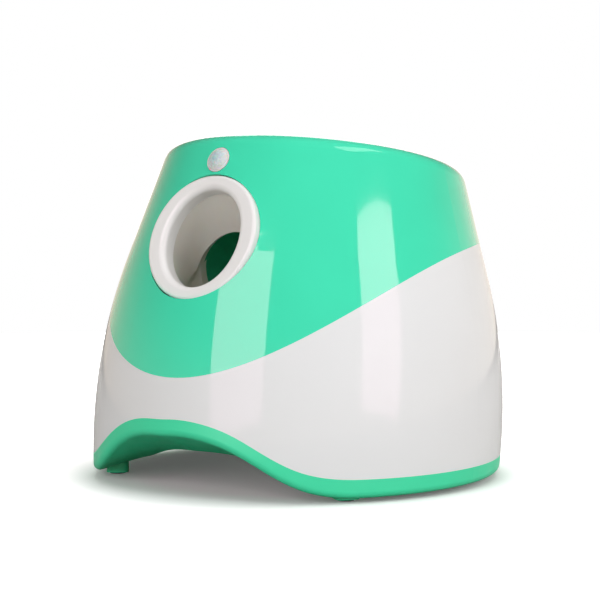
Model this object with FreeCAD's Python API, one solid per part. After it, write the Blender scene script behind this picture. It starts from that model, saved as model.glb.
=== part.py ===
"""Automatic dog ball launcher: a leaning tub of two shells on an arched base tray.

A ball dropped in the hopper rolls down the feed chute into the launch pocket.  A sector
gear, driven through a small gear train by a motor, winds a spring-loaded striker back
through its barrel; when the toothed sector ends, the striker throws the ball out of the
muzzle.  Millimetres; the muzzle faces -Y, +Z is up and the tub stands on z = 0.
"""
import FreeCAD, Part
import math
import os
from functools import lru_cache

from FreeCAD import Placement, Rotation, Vector

# ---------------------------------------------------------------- driving dimensions
WALL = 3.0                    # thickness of every outer moulding
FIT_GAP = 0.25                # gap round a part that drops into an opening
RUN_GAP = 0.08                # radial clearance of a shaft in its bearing
SLIDE_GAP = 0.3               # gap beside a part that slides or tilts

# The tub is turned about an axis that leans back; its side is an arc and then a cone.
BODY_RADIUS = 145.3           # greatest radius of the tub
BODY_LEAN = 6.3               # degrees that the axis leans towards the back
AXIS_Y = -4.4                 # where the leaning axis meets the floor
WIDE_HEIGHT = 35.7            # height, along the axis, of the greatest radius
SIDE_ARC = 386.0              # radius of the arc of the side
SIDE_TAPER = 16.6             # degrees, the cone above the arc
RIM_TILT = 8.5                # degrees, the rim falls towards the back
RIM_HEIGHT = 221.9            # height of the middle of the rim
RIM_Y = 15.7                  # the middle of the rim
RIM_ROUND = 12.0              # rounding of the rim's outer edge
RIM_LIP = 2.4                 # rounding of the rim's inner edge
RIM_OPENING = 90.0            # radius of the mouth in the rim

# Seams.  Each is a height that varies with the angle from the front.
SHIELD_LOW = 77.0             # the green shield reaches this low at the front
SHIELD_HIGH = 165.0           # and this high at the back
SHIELD_SPREAD = 58.5          # degrees, how wide the shield's tongue is
SHIELD_Y = 6.0                # centre of the shield's angles
SEAM_LOW = 15.2               # height of the seam above the base band along the sides
SEAM_RISE = 35.3              # and how much higher it is over the two arches
ARCH_SPREAD = 29.3            # degrees, half the width of an arch
ARCH_POWER = 3.1              # how flat its top and how steep its ends are
BASE_Y = 0.0                  # centre of the base's angles
BAND_HEIGHT = 13.8            # height of the base band along the sides
BAND_THIN = 3.5               # how much lower it is over the arches
BAND_ROUND = 4.5              # rounding of its lower edge
LIP_DEPTH = 6.0               # the upper shell's lip behind the lower shell
LIP_WALL = 1.6
LIP_GAP = 0.1                 # the lip stands clear of the lower shell
LIP_ROOT = 0.3                # and runs this far into the upper one

# Base tray
PLATE_RADIUS = 109.0          # flat middle of the base
PLATE_Z = 28.0                # its underside
CEILING_LOW = 13.3            # underside just outside the flat middle, at the sides
CEILING_RISE = 12.5           # and how much higher it is inside the arches
FOOT_FRONT = 49.0             # degrees of the front feet from the front
FOOT_BACK = 118.0             # and of the back feet
FOOT_WIDTH = 16.0
FOOT_LENGTH = 15.5
FOOT_PITCH = 129.2            # distance of the feet from the middle of the base
FOOT_CLEAR = 1.2              # underside of a foot block above the floor
FOOT_CORNER = 4.0
PAD_RADIUS = 6.0
PAD_SINK = 1.0                # a pad's depth in its recess

# Muzzle and launch axis
MUZZLE = Vector(0, -110.8, 167.4)
MUZZLE_ELEVATION = 19.85      # degrees, the way the muzzle's ring faces
MUZZLE_OUTER = 43.8
MUZZLE_BORE_WIDE = 30.4       # half the bore's width
MUZZLE_BORE_HIGH = 33.9       # half its height, where the launch axis crosses the ring
MUZZLE_DEPTH = 11.0
MUZZLE_OUTER_ROUND = 2.4
MUZZLE_INNER_ROUND = 4.0
BALL_CENTRE = Vector(0, -86.0, 140.5)   # where the ball waits
LAUNCH_ELEVATION = 50.0
BALL_RADIUS = 25.0
CUP_GAP = 4.0                 # the cup is this much wider than the ball
THROAT_GAP = 2.9              # and so is the throat above it
CHUTE_GAP = 2.4               # and the chute behind it
DUCT_WALL = 2.5               # wall of the pocket, chute and collar
POCKET_FLANGE = 43.0

# Hopper bowl, about the rim's axis
BOWL_DROP = 1.4               # top of the bowl below the rim
BOWL_DEPTH = 41.5             # depth of its hole below the rim
BOWL_TOE_RADIUS = 66.0
BOWL_TOE_DEPTH = 29.0
BOWL_FLANGE = 2.0
BOWL_HOLE = 29.5
COLLAR_LENGTH = 8.0
CHUTE_SLOPE = 10.2            # degrees, fall of the chute towards the pocket

# Striker, in the launch frame: distances below the ball's centre
STRIKER_TOP = 34.0
STRIKER_RADIUS = 15.0
STRIKER_HEAD = 12.0
STRIKER_HOLE = 17.6           # radius of the hole in the cup
HEAD_DOME = 4.0
SLEEVE_RADIUS = 9.0
SLEEVE_BORE = 6.2
SLEEVE_END = 91.0
BARREL_WALL = 2.6
CAP_LENGTH = 3.0
END_ROOM = 2.0                # room behind the striker when it is wound right back
STROKE_ANGLE = 120.0          # degrees that the sector turns to wind the striker back
SPRING_WIRE = 1.2
SPRING_RADIUS = 5.1
SPRING_TURNS = 9
ROD_RADIUS = 3.6

# Gears
RACK_MODULE = 1.5
RACK_OFFSET = 12.6            # pitch line of the rack from the launch axis
SECTOR_RING_TEETH = 20        # teeth that a full ring would have
SECTOR_TEETH = 8
SECTOR_AT = 81.0              # distance of the sector's centre below the ball
TRAIN_MODULE = 1.0
WHEEL_TEETH = 48
IDLER_SMALL_TEETH = 16
IDLER_LARGE_TEETH = 30
PINION_TEETH = 10
IDLER_BEARING = -8.0          # degrees above +Y, wheel to idler
PINION_BEARING = -50.0        # degrees above +Y, idler to pinion
PRESSURE_ANGLE = 20.0
BACKLASH = 0.12               # each flank stands back by this much
GEAR_FACE = 8.0
WHEEL_FACE = 6.0
PINION_FACE = 5.0
SHAFT_RADIUS = 3.0
IDLER_SHAFT_RADIUS = 2.0

# Chassis
CHASSIS_WALL = 3.0
MOTOR_RADIUS = 13.8
MOTOR_SHAFT = 1.2

# Battery bay
CELL_RADIUS = 13.1
CELL_LENGTH = 50.0
CELL_ROWS = 3
CELL_PITCH = 26.5
BAY_FRONT = 12.5               # inside face of the bay towards the front
BAY_WALL = 1.8
BAY_LIP = 2.2                 # flange by which the bay hangs on the base plate
BAY_FLANGE = 1.5
BAY_RAISE = 1.2               # foot of its walls above the plate's underside
CONTACT_ROOM = 1.2
DOOR_THICKNESS = 2.4
DOOR_TRAVEL = 10.0
DOOR_CORNER = 10.0

# Control panel at the back
PANEL_Z = 82.0
PANEL_WIDTH = 66.0
PANEL_HEIGHT = 30.0
ROCKER_X = 17.0
BUTTON_X = -3.5
LED_COUNT = 3
LED_PITCH = 7.0
LED_X = -22.0
LED_RADIUS = 1.8
BUTTON_RADIUS = 7.0
BUTTON_TRAVEL = 1.5
ROCKER_WIDTH = 10.0
ROCKER_HEIGHT = 18.0
ROCKER_TILT = 10.0
JACK_Z = 59.0
JACK_RIM = 6.0
JACK_BORE = 2.8
JACK_PIN = 1.0

# Movement sensor above the muzzle
LENS_RADIUS = 7.4
LENS_BRIM = 1.4
LENS_RISE = 3.0
LENS_Z = 218.6

AXIS_X = Vector(1, 0, 0)
AXIS_Z = Vector(0, 0, 1)
RING_POINTS = 40              # points on a wavy ring
FAR = 200.0                   # beyond every wall


# ---------------------------------------------------------------- frames
def tilted(origin, degrees):
    """A frame turned about X: its Z leans towards -Y for positive angles."""
    return Placement(origin, Rotation(AXIS_X, degrees))


BODY = tilted(Vector(0, AXIS_Y, 0), -BODY_LEAN)
RIM = tilted(Vector(0, RIM_Y, RIM_HEIGHT), -RIM_TILT)
FACE = tilted(MUZZLE, 90 - MUZZLE_ELEVATION)
LAUNCH = tilted(BALL_CENTRE, 90 - LAUNCH_ELEVATION)
CHUTE = tilted(BALL_CENTRE, CHUTE_SLOPE - 90)

RACK_PITCH = math.pi * RACK_MODULE
SECTOR_RADIUS = RACK_MODULE * SECTOR_RING_TEETH / 2
STROKE = SECTOR_RADIUS * math.radians(STROKE_ANGLE)
CUP_RADIUS = BALL_RADIUS + CUP_GAP
THROAT_RADIUS = BALL_RADIUS + THROAT_GAP
CHUTE_RADIUS = BALL_RADIUS + CHUTE_GAP
BARREL_RADIUS = STRIKER_RADIUS + SLIDE_GAP
BARREL_END = SLEEVE_END + STROKE + END_ROOM
BARREL_OUTER = BARREL_RADIUS + BARREL_WALL
CHASSIS_X = BARREL_OUTER + SLIDE_GAP
PLATE_TOP = PLATE_Z + WALL
SEAM_INSIDE = BODY_RADIUS - 6 * WALL    # the seams' waves run in past the wall
SHIELD_INSIDE = RIM_OPENING
SEAM_MIDDLE = SEAM_LOW + SEAM_RISE / 2


def at_launch(distance, up=0.0):
    """Point on the launch axis below the ball, moved square to it towards the back."""
    return LAUNCH.multVec(Vector(0, up, -distance))


def placed(shape, frame):
    shape.Placement = frame.multiply(shape.Placement)
    return shape


def polar(centre, radius, degrees):
    """Point in the YZ plane at an angle above +Y."""
    turn = math.radians(degrees)
    return centre + Vector(0, radius * math.cos(turn), radius * math.sin(turn))


SECTOR_CENTRE = at_launch(SECTOR_AT, RACK_OFFSET + SECTOR_RADIUS)
IDLER_CENTRE = polar(SECTOR_CENTRE, TRAIN_MODULE * (WHEEL_TEETH + IDLER_SMALL_TEETH) / 2, IDLER_BEARING)
MOTOR_CENTRE = polar(IDLER_CENTRE, TRAIN_MODULE * (IDLER_LARGE_TEETH + PINION_TEETH) / 2, PINION_BEARING)


# ---------------------------------------------------------------- basic solids
def turned(points):
    """Solid of revolution about Z from (radius, height) points joined by lines."""
    loop = [Vector(r, 0, z) for r, z in points]
    return Part.Face(Part.makePolygon(loop + loop[:1])).revolve(Vector(), AXIS_Z, 360)


def disc(radius, low, high, x=0.0, y=0.0):
    return Part.makeCylinder(radius, high - low, Vector(x, y, low))


def tube(outer, inner, low, high, x=0.0, y=0.0):
    return disc(outer, low, high, x, y).cut(disc(inner, low - 1, high + 1, x, y))


def rod_x(radius, low, high, centre):
    """Cylinder along X."""
    return Part.makeCylinder(radius, high - low, Vector(low, centre.y, centre.z), AXIS_X)


def block(x, y, z):
    """Box from three (low, high) pairs."""
    return Part.makeBox(x[1] - x[0], y[1] - y[0], z[1] - z[0], Vector(x[0], y[0], z[0]))


def plate_x(outline, low, high):
    """Flat plate square to X from its (y, z) outline."""
    loop = [Vector(low, y, z) for y, z in outline]
    return Part.Face(Part.makePolygon(loop + loop[:1])).extrude(Vector(high - low, 0, 0))


def union(shapes):
    return shapes[0].multiFuse(shapes[1:]).removeSplitter() if len(shapes) > 1 else shapes[0]


def export(name, shape):
    if shape.ShapeType != "Solid" and len(shape.Solids) == 1:
        shape = shape.Solids[0]
    shape.exportStep("parts/" + name + ".step")


# ---------------------------------------------------------------- wavy cutting solids
def ring(radius, height_at, centre_y):
    """Closed curve round the tub at a height that is a function of the angle."""
    points = []
    for step in range(RING_POINTS):
        angle = 2 * math.pi * step / RING_POINTS
        x = radius * math.sin(angle)
        y = centre_y - radius * math.cos(angle)
        points.append(Vector(x, y, height_at(angle)))
    curve = Part.BSplineCurve()
    curve.interpolate(Points=points, PeriodicFlag=True)
    return Part.Wire(curve.toShape())


def flat(height):
    return lambda angle: height


def shield_height(angle):
    off_front = math.degrees(math.pi - abs(math.pi - angle % (2 * math.pi)))
    return SHIELD_HIGH - (SHIELD_HIGH - SHIELD_LOW) * math.exp(-(off_front / SHIELD_SPREAD) ** 2)


def arch(angle):
    """1 at the top of the front and back arches, falling to 0 along the sides."""
    off = math.degrees(math.asin(min(1.0, abs(math.sin(angle)))))
    return math.exp(-(off / ARCH_SPREAD) ** ARCH_POWER)


def seam_height(angle):
    return SEAM_LOW + SEAM_RISE * arch(angle)


def band_edge(angle):
    """Height of the band's lower edge before it is rounded."""
    return seam_height(angle) - BAND_HEIGHT + BAND_THIN * arch(angle)


def ceiling_height(angle):
    return CEILING_LOW + CEILING_RISE * arch(angle)


def band_foot(angle):
    """Height of the underside if its slope ran on from the band's edge out to FAR."""
    inner = ceiling_height(angle)
    run = (FAR - PLATE_RADIUS) / (BODY_RADIUS - PLATE_RADIUS)
    return inner + (band_edge(angle) - inner) * run


def beyond(height_at, far_z, centre_y, middle, inside):
    """Everything between a surface that is wavy outside a radius and the plane z = far_z."""
    rings = [
        ring(FAR, flat(far_z), centre_y),
        ring(FAR, height_at, centre_y),
        ring(inside, height_at, centre_y),
        ring(inside - WALL, flat(middle), centre_y),
    ]
    return Part.makeLoft(rings, True, True)


def base_side(far_z, rise):
    """Everything between the tray's wavy underside, raised by rise, and z = far_z."""
    rings = [
        ring(FAR, flat(far_z), BASE_Y),
        ring(FAR, lambda angle: band_foot(angle) + rise, BASE_Y),
        ring(PLATE_RADIUS, lambda angle: ceiling_height(angle) + rise, BASE_Y),
        ring(PLATE_RADIUS - 4, flat(PLATE_Z + rise), BASE_Y),
    ]
    return Part.makeLoft(rings, True, True)


# ---------------------------------------------------------------- the tub
@lru_cache(maxsize=None)
def tub_solid(inset, rim_round):
    """The tub's outer form, shrunk by inset all over, with its rim rounded."""
    centre_r = BODY_RADIUS - SIDE_ARC
    radius = SIDE_ARC - inset

    def on_arc(degrees):
        turn = math.radians(degrees)
        return Vector(centre_r + radius * math.cos(turn), 0, WIDE_HEIGHT + radius * math.sin(turn))

    low, middle, high = on_arc(-SIDE_TAPER), on_arc(0), on_arc(SIDE_TAPER)
    cone = (RIM_HEIGHT + 40 - high.z) * Vector(-math.tan(math.radians(SIDE_TAPER)), 0, 1)
    top = high + cone
    edges = [
        Part.Arc(low, middle, high).toShape(),
        Part.makeLine(high, top),
        Part.makeLine(top, Vector(0, 0, top.z)),
        Part.makeLine(Vector(0, 0, top.z), Vector(0, 0, low.z)),
        Part.makeLine(Vector(0, 0, low.z), low),
    ]
    solid = placed(Part.Face(Part.Wire(edges)).revolve(Vector(), AXIS_Z, 360), BODY)
    solid = solid.cut(placed(disc(FAR, -inset, FAR), RIM)).cut(disc(2 * FAR, -FAR, 0))
    return fillet_on_plane(solid, RIM, -inset, rim_round) if rim_round else solid


def fillet_on_plane(solid, frame, height, radius):
    """Round the edges that lie in the plane at a height in the given frame."""
    inverse = frame.inverse()
    edges = []
    for edge in solid.Edges:
        samples = [edge.valueAt(edge.FirstParameter + part * (edge.LastParameter - edge.FirstParameter))
                   for part in (0.0, 0.3, 0.7)]
        if all(abs(inverse.multVec(point).z - height) < 0.01 for point in samples):
            edges.append(edge)
    return solid.makeFillet(radius, edges)


def shell_parts():
    outer = tub_solid(0, RIM_ROUND)
    inner = tub_solid(WALL, RIM_ROUND - WALL)
    skin = outer.cut(inner)
    under_shield = beside_shield(0)
    over_seam = beyond(seam_height, 2 * FAR, BASE_Y, SEAM_MIDDLE, SEAM_INSIDE)

    lower = skin.common(under_shield).common(over_seam)
    lower = lower.cut(panel_opening(FIT_GAP)).cut(jack_opening())
    lower = union([lower] + shell_bosses())

    upper = skin.cut(under_shield)
    mouth = placed(disc(RIM_OPENING, -3 * WALL, FAR), RIM)
    upper = fillet_on_plane(upper.cut(mouth), RIM, 0, RIM_LIP) if RIM_LIP else upper.cut(mouth)
    upper = upper.fuse(shell_lip())
    upper = upper.cut(placed(disc(MUZZLE_OUTER + FIT_GAP, -60, 60), FACE)).cut(lens_opening())
    return upper, lower


def beside_shield(shift):
    """Everything below the shield's edge, moved up by shift."""
    middle = (SHIELD_HIGH + SHIELD_LOW) / 2
    return beyond(lambda angle: shield_height(angle) + shift, -FAR, SHIELD_Y, middle, SHIELD_INSIDE)


def shell_lip():
    """A thin lip inside the upper shell that the lower shell slips over."""
    back = tub_solid(WALL + LIP_WALL, 0)
    low = tub_solid(WALL + LIP_GAP, 0).cut(back)
    high = tub_solid(WALL - LIP_ROOT, 0).cut(back)
    low = low.common(beside_shield(LIP_ROOT)).cut(beside_shield(-LIP_DEPTH))
    high = high.common(beside_shield(LIP_DEPTH)).cut(beside_shield(0))
    return low.fuse(high)


def foot_angles():
    return [math.radians(turn) for turn in (FOOT_FRONT, FOOT_BACK, -FOOT_BACK, -FOOT_FRONT)]


def foot_centre(angle):
    return Vector(FOOT_PITCH * math.sin(angle), BASE_Y - FOOT_PITCH * math.cos(angle), 0)


BOSS_RADIUS = 5.5
BOSS_FOOT_Z = 24.0            # where the shell's bosses stand on the tray's
BOSS_TOP_Z = 62.0
SCREW_RADIUS = 1.6
SCREW_HEAD_RADIUS = 3.2
SCREW_SEAT_Z = 8.0
SCREW_TIP_Z = 40.0


def shell_bosses():
    """Screw bosses of the lower shell, each tied to the wall by a rib."""
    reach = tub_solid(WALL / 2, 0)
    bosses = []
    for angle in foot_angles():
        centre = foot_centre(angle)
        boss = disc(BOSS_RADIUS, BOSS_FOOT_Z, BOSS_TOP_Z, centre.x, centre.y)
        rib = block((-1.2, 1.2), (-BODY_RADIUS, -FOOT_PITCH), (BOSS_FOOT_Z, BOSS_TOP_Z))
        rib.rotate(Vector(), AXIS_Z, math.degrees(angle))
        rib.translate(Vector(0, BASE_Y, 0))
        bore = disc(SCREW_RADIUS, BOSS_FOOT_Z - 1, SCREW_TIP_Z + 1, centre.x, centre.y)
        bosses.append(boss.fuse(rib).common(reach).cut(bore))
    return bosses


def base_tray(outer):
    """The green base: a wavy band, an arched underside, four feet and the bay's window."""
    below_seam = beyond(seam_height, -FAR, BASE_Y, SEAM_MIDDLE, SEAM_INSIDE)
    cavity = tub_solid(WALL, 0).common(base_side(FAR, WALL))
    band = outer.common(below_seam).cut(base_side(-40, 0))
    tray = band.makeFillet(BAND_ROUND, [edge for edge in band.Edges if is_band_edge(edge)]).cut(cavity)
    solids = [tray]
    for angle in foot_angles():
        centre = foot_centre(angle)
        foot = block((-FOOT_WIDTH / 2, FOOT_WIDTH / 2),
                     (-FOOT_PITCH - FOOT_LENGTH / 2, -FOOT_PITCH + FOOT_LENGTH / 2),
                     (FOOT_CLEAR, 2 * PLATE_Z))
        foot = foot.makeFillet(FOOT_CORNER, [edge for edge in foot.Edges if is_upright(edge)])
        foot.rotate(Vector(), AXIS_Z, math.degrees(angle))
        foot.translate(Vector(0, BASE_Y, 0))
        foot = foot.common(base_side(-40, WALL / 2))
        post = disc(BOSS_RADIUS, FOOT_CLEAR, BOSS_FOOT_Z, centre.x, centre.y)
        solids += [foot, post]
    tray = union(solids)
    for angle in foot_angles():
        centre = foot_centre(angle)
        recess = disc(PAD_RADIUS + FIT_GAP, 0, FOOT_CLEAR + PAD_SINK, centre.x, centre.y)
        counterbore = disc(SCREW_HEAD_RADIUS + 0.5, 0, SCREW_SEAT_Z, centre.x, centre.y)
        hole = disc(SCREW_RADIUS + 0.2, 0, BOSS_FOOT_Z + 1, centre.x, centre.y)
        tray = tray.cut(recess).cut(counterbore).cut(hole)
    return union([tray.cut(bay_outside(FIT_GAP, PLATE_Z - 1))] + door_rails())


def is_band_edge(edge):
    """True for the wavy lower edge of the band."""
    for part in (0.1, 0.5, 0.9):
        point = edge.valueAt(edge.FirstParameter + part * (edge.LastParameter - edge.FirstParameter))
        angle = math.atan2(point.x, BASE_Y - point.y)
        reach = math.hypot(point.x, point.y - BASE_Y)
        if reach < BODY_RADIUS - 10 or abs(point.z - band_edge(angle)) > 2.5:
            return False
    return True


def is_upright(edge):
    first, last = edge.Vertexes[0].Point, edge.Vertexes[-1].Point
    return abs(first.x - last.x) < 0.01 and abs(first.y - last.y) < 0.01


# ---------------------------------------------------------------- battery bay
BAY_X = CELL_LENGTH + CONTACT_ROOM
BAY_BACK = BAY_FRONT + CELL_ROWS * CELL_PITCH + 1.0
BAY_TOP = PLATE_Z + 2 * CELL_RADIUS + 1.0
DOOR_TOP = PLATE_Z - SLIDE_GAP


def bay_outside(gap, low, high=BAY_TOP + BAY_WALL):
    """Outside of the bay's walls, wider by gap all round, between two heights."""
    reach = BAY_WALL + gap
    return block((-BAY_X - reach, BAY_X + reach), (BAY_FRONT - reach, BAY_BACK + reach), (low, high))


def battery_bay():
    """Box over the cells that drops into the base plate's window and hangs on its flange."""
    walls = bay_outside(0, PLATE_Z + BAY_RAISE)
    flange = bay_outside(BAY_LIP, PLATE_TOP, PLATE_TOP + BAY_FLANGE)
    room = block((-BAY_X, BAY_X), (BAY_FRONT, BAY_BACK), (PLATE_Z, BAY_TOP))
    return walls.fuse(flange).cut(room)


def door_rails():
    """Two angle rails under the plate that hold the door's long edges."""
    rails = []
    inner = BAY_X + 1.2
    low = DOOR_TOP - DOOR_THICKNESS - SLIDE_GAP - 1.4
    for side in (-1, 1):
        web = sorted((side * (inner + SLIDE_GAP), side * (inner + SLIDE_GAP + 1.8)))
        lip = sorted((side * (inner - 2.0), side * (inner + SLIDE_GAP + 1.0)))
        rail = block(web, (BAY_FRONT - 2, BAY_BACK - 6), (low, PLATE_Z + 1))
        foot = block(lip, (BAY_FRONT - 2, BAY_BACK - 6), (low, low + 1.4))
        rails.append(rail.fuse(foot))
    return rails


def battery_door():
    """Sliding lid with a finger grip of ribs."""
    half = BAY_X + 1.2
    lid = block((-half, half), (BAY_FRONT - 1.5, BAY_BACK + 1.0), (DOOR_TOP - DOOR_THICKNESS, DOOR_TOP))
    lid = lid.makeFillet(DOOR_CORNER, [edge for edge in lid.Edges if is_upright(edge)])
    for step in range(5):
        y = BAY_FRONT + 6 + 3.4 * step
        groove = Part.makeCylinder(0.9, 40, Vector(-20, y, DOOR_TOP - DOOR_THICKNESS - 0.2), AXIS_X)
        lid = lid.cut(groove)
    return lid


def cell(x, y):
    """C cell lying along X with its raised terminal."""
    centre = Vector(0, y, PLATE_Z + CELL_RADIUS + 0.15)
    can = rod_x(CELL_RADIUS, x, x + CELL_LENGTH - 1.5, centre)
    return can.fuse(rod_x(3.2, x + CELL_LENGTH - 1.6, x + CELL_LENGTH - 0.1, centre))


def battery_cells():
    cells = []
    for row in range(CELL_ROWS):
        y = BAY_FRONT + 0.5 + CELL_PITCH * (row + 0.5)
        cells += [cell(-CELL_LENGTH, y), cell(0.0, y)]
    return Part.makeCompound(cells)


def battery_contacts():
    """Spring and plate contacts at both ends of each row."""
    contacts = []
    for row in range(CELL_ROWS):
        centre = Vector(0, BAY_FRONT + 0.5 + CELL_PITCH * (row + 0.5), PLATE_Z + CELL_RADIUS + 0.15)
        for side in (-1, 1):
            outer = side * BAY_X
            span = sorted((outer, outer - side * 0.5))
            tab = block(span, (centre.y - 8, centre.y + 8), (centre.z - 8, centre.z + 8))
            span = sorted((outer - side * 0.4, outer - side * 1.1))
            contacts.append(tab.fuse(rod_x(4.0, span[0], span[1], centre)))
    return Part.makeCompound(contacts)


# ---------------------------------------------------------------- muzzle, pocket, chute, hopper
def oval_wire(extra, height):
    """The bore's oval, wider by extra all round, square to the muzzle's axis."""
    top = Vector(0, MUZZLE_BORE_HIGH + extra, 0)
    side = Vector(-MUZZLE_BORE_WIDE - extra, 0, 0)
    wire = Part.Wire(Part.Ellipse(top, side, Vector()).toShape())
    wire.translate(Vector(0, 0, height))
    return wire


def bore_solid(extra, low, high):
    return Part.Face(oval_wire(extra, low)).extrude(Vector(0, 0, high - low))


def muzzle_bezel():
    """White ring that stands proud of the shield round an oval bore."""
    body = disc(MUZZLE_OUTER, -MUZZLE_DEPTH, 0)
    body = body.makeFillet(MUZZLE_OUTER_ROUND, [e for e in body.Edges if on_circle(e, MUZZLE_OUTER, 0)])
    body = body.cut(bore_solid(0, -MUZZLE_DEPTH, 0))
    inner = [e for e in body.Edges if isinstance(e.Curve, Part.Ellipse) and abs(e.CenterOfMass.z) < 0.01]
    return placed(body.makeFillet(MUZZLE_INNER_ROUND, inner), FACE)


def on_circle(edge, radius, height):
    curve = edge.Curve
    return (isinstance(curve, Part.Circle) and abs(curve.Radius - radius) < 0.01
            and abs(curve.Center.z - height) < 0.01)


def circle_wire(frame, radius, height):
    return Part.Wire(placed(Part.makeCircle(radius, Vector(0, 0, height), AXIS_Z), frame))


def pocket_volume(extra):
    """Space of the launch pocket: from the muzzle's bore down to the ball's cup."""
    mouth = placed(oval_wire(extra, -MUZZLE_DEPTH), FACE)
    from_top = Placement(Vector(), Rotation(AXIS_Z, 90))
    waist = circle_wire(LAUNCH.multiply(from_top), THROAT_RADIUS + extra, 0)
    throat = Part.makeLoft([mouth, waist], True, True)
    cup = Part.makeSphere(CUP_RADIUS + extra, Vector(), AXIS_Z, -90, 0, 360)
    return throat.fuse(placed(cup, LAUNCH))


def elbow_point():
    """Where the chute's axis meets the axis of the rim."""
    fall = math.tan(math.radians(CHUTE_SLOPE))
    down = RIM.Rotation.multVec(Vector(0, 0, -1))
    gap = RIM_HEIGHT - BALL_CENTRE.z - (RIM_Y - BALL_CENTRE.y) * fall
    depth = gap / (fall * down.y - down.z)
    return RIM.multVec(Vector(0, 0, -depth)), depth


def chute_volume(extra):
    """Space of the feed chute, from the hopper's hole to the ball's cup."""
    elbow, depth = elbow_point()
    radius = CHUTE_RADIUS + extra
    run = placed(disc(radius, 0, (elbow - BALL_CENTRE).Length), CHUTE)
    bend = Part.makeSphere(radius, elbow)
    drop = placed(disc(radius, -depth, -BOWL_DEPTH - COLLAR_LENGTH), RIM)
    return run.multiFuse([bend, drop])


def launch_pocket():
    """Open-topped cup with a flange that the bezel's screws pull against the shell."""
    flange = placed(disc(POCKET_FLANGE, -MUZZLE_DEPTH - DUCT_WALL, -MUZZLE_DEPTH), FACE)
    hole = placed(disc(STRIKER_HOLE, -CUP_RADIUS - 10, 0), LAUNCH)
    room = pocket_volume(0).multiFuse([chute_volume(0), hole])
    return pocket_volume(DUCT_WALL).fuse(flange).cut(room)


@lru_cache(maxsize=None)
def feed_chute():
    wall = chute_volume(DUCT_WALL).cut(chute_volume(0))
    seat = BOWL_DEPTH + COLLAR_LENGTH
    collar = BOWL_HOLE + DUCT_WALL
    socket = placed(turned([(CHUTE_RADIUS, -seat - 6), (CHUTE_RADIUS + DUCT_WALL, -seat - 6),
                            (collar + SLIDE_GAP + DUCT_WALL, -seat - 1),
                            (collar + SLIDE_GAP + DUCT_WALL, -seat + 3.5),
                            (collar + SLIDE_GAP, -seat + 3.5), (collar + SLIDE_GAP, -seat),
                            (CHUTE_RADIUS, -seat)]), RIM)
    mouth = placed(disc(collar + SLIDE_GAP, -seat, 0), RIM)
    chute = wall.cut(mouth).fuse(socket).cut(pocket_volume(DUCT_WALL)).cut(chute_volume(0))
    barrel = placed(disc(BARREL_OUTER + 0.1, -FAR, 0), LAUNCH)
    return chute.cut(barrel).cut(lever_slot())


def chute_half(side):
    """The chute is moulded in two halves that meet in the middle plane."""
    return feed_chute().common(block(sorted((0.0, side * FAR)), (-FAR, FAR), (0, 2 * FAR)))


def hopper_bowl():
    """Funnel about the rim's axis, with a flange under the rim and a collar below."""
    top = RIM_OPENING - FIT_GAP
    bottom = -BOWL_DEPTH
    seat = -WALL

    def wall(offset, height):
        """Inner line of the funnel, moved outwards by offset."""
        arc = Part.Arc(Vector(top - DUCT_WALL - 1 + offset, 0, -12), Vector(top - 11 + offset, 0, -23),
                       Vector(BOWL_TOE_RADIUS + offset * 0.4, 0, -BOWL_TOE_DEPTH - offset * 0.9))
        return arc

    inside, outside = wall(0, 0), wall(DUCT_WALL, 0)
    points = {
        "brim_in": Vector(top - DUCT_WALL, 0, -BOWL_DROP),
        "brim_out": Vector(top, 0, -BOWL_DROP),
        "under_rim": Vector(top, 0, seat),
        "flange_top": Vector(top + BOWL_FLANGE, 0, seat),
        "flange_low": Vector(top + BOWL_FLANGE, 0, seat - DUCT_WALL),
        "flange_root": Vector(top, 0, seat - DUCT_WALL),
        "hole_out": Vector(BOWL_HOLE + DUCT_WALL, 0, bottom - DUCT_WALL - 1),
        "collar_out": Vector(BOWL_HOLE + DUCT_WALL, 0, bottom - COLLAR_LENGTH),
        "collar_in": Vector(BOWL_HOLE, 0, bottom - COLLAR_LENGTH),
        "hole_in": Vector(BOWL_HOLE, 0, bottom),
    }
    start, toe = inside.toShape().Vertexes[0].Point, inside.toShape().Vertexes[-1].Point
    out_start, out_toe = outside.toShape().Vertexes[0].Point, outside.toShape().Vertexes[-1].Point
    path = [
        Part.makeLine(start, points["brim_in"]),
        Part.makeLine(points["brim_in"], points["brim_out"]),
        Part.makeLine(points["brim_out"], points["under_rim"]),
        Part.makeLine(points["under_rim"], points["flange_top"]),
        Part.makeLine(points["flange_top"], points["flange_low"]),
        Part.makeLine(points["flange_low"], points["flange_root"]),
        Part.makeLine(points["flange_root"], out_start),
        outside.toShape(),
        Part.makeLine(out_toe, points["hole_out"]),
        Part.makeLine(points["hole_out"], points["collar_out"]),
        Part.makeLine(points["collar_out"], points["collar_in"]),
        Part.makeLine(points["collar_in"], points["hole_in"]),
        Part.makeLine(points["hole_in"], toe),
        inside.toShape(),
    ]
    profile = Part.Face(Part.Wire(Part.sortEdges(path)[0]))
    return placed(profile.revolve(Vector(), AXIS_Z, 360), RIM)


# ---------------------------------------------------------------- movement sensor
def lens_frame():
    """On the front of the tub above the muzzle, facing square to the wall."""
    lean = math.tan(math.radians(SIDE_TAPER + BODY_LEAN))
    face_y = wall_y(LENS_Z, -1)
    return tilted(Vector(0, face_y, LENS_Z), 90 - math.degrees(math.atan(lean)))


@lru_cache(maxsize=None)
def wall_y(z, side):
    """Where the tub's outer wall crosses the symmetry plane at a height."""
    probe = Part.makeLine(Vector(0, 0, z), Vector(0, side * FAR, z))
    cut = tub_solid(0, 0).common(probe)
    return side * max(abs(vertex.Point.y) for vertex in cut.Vertexes)


def lens_opening():
    return placed(disc(LENS_RADIUS + LENS_BRIM + FIT_GAP, -20, 20), lens_frame())


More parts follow.
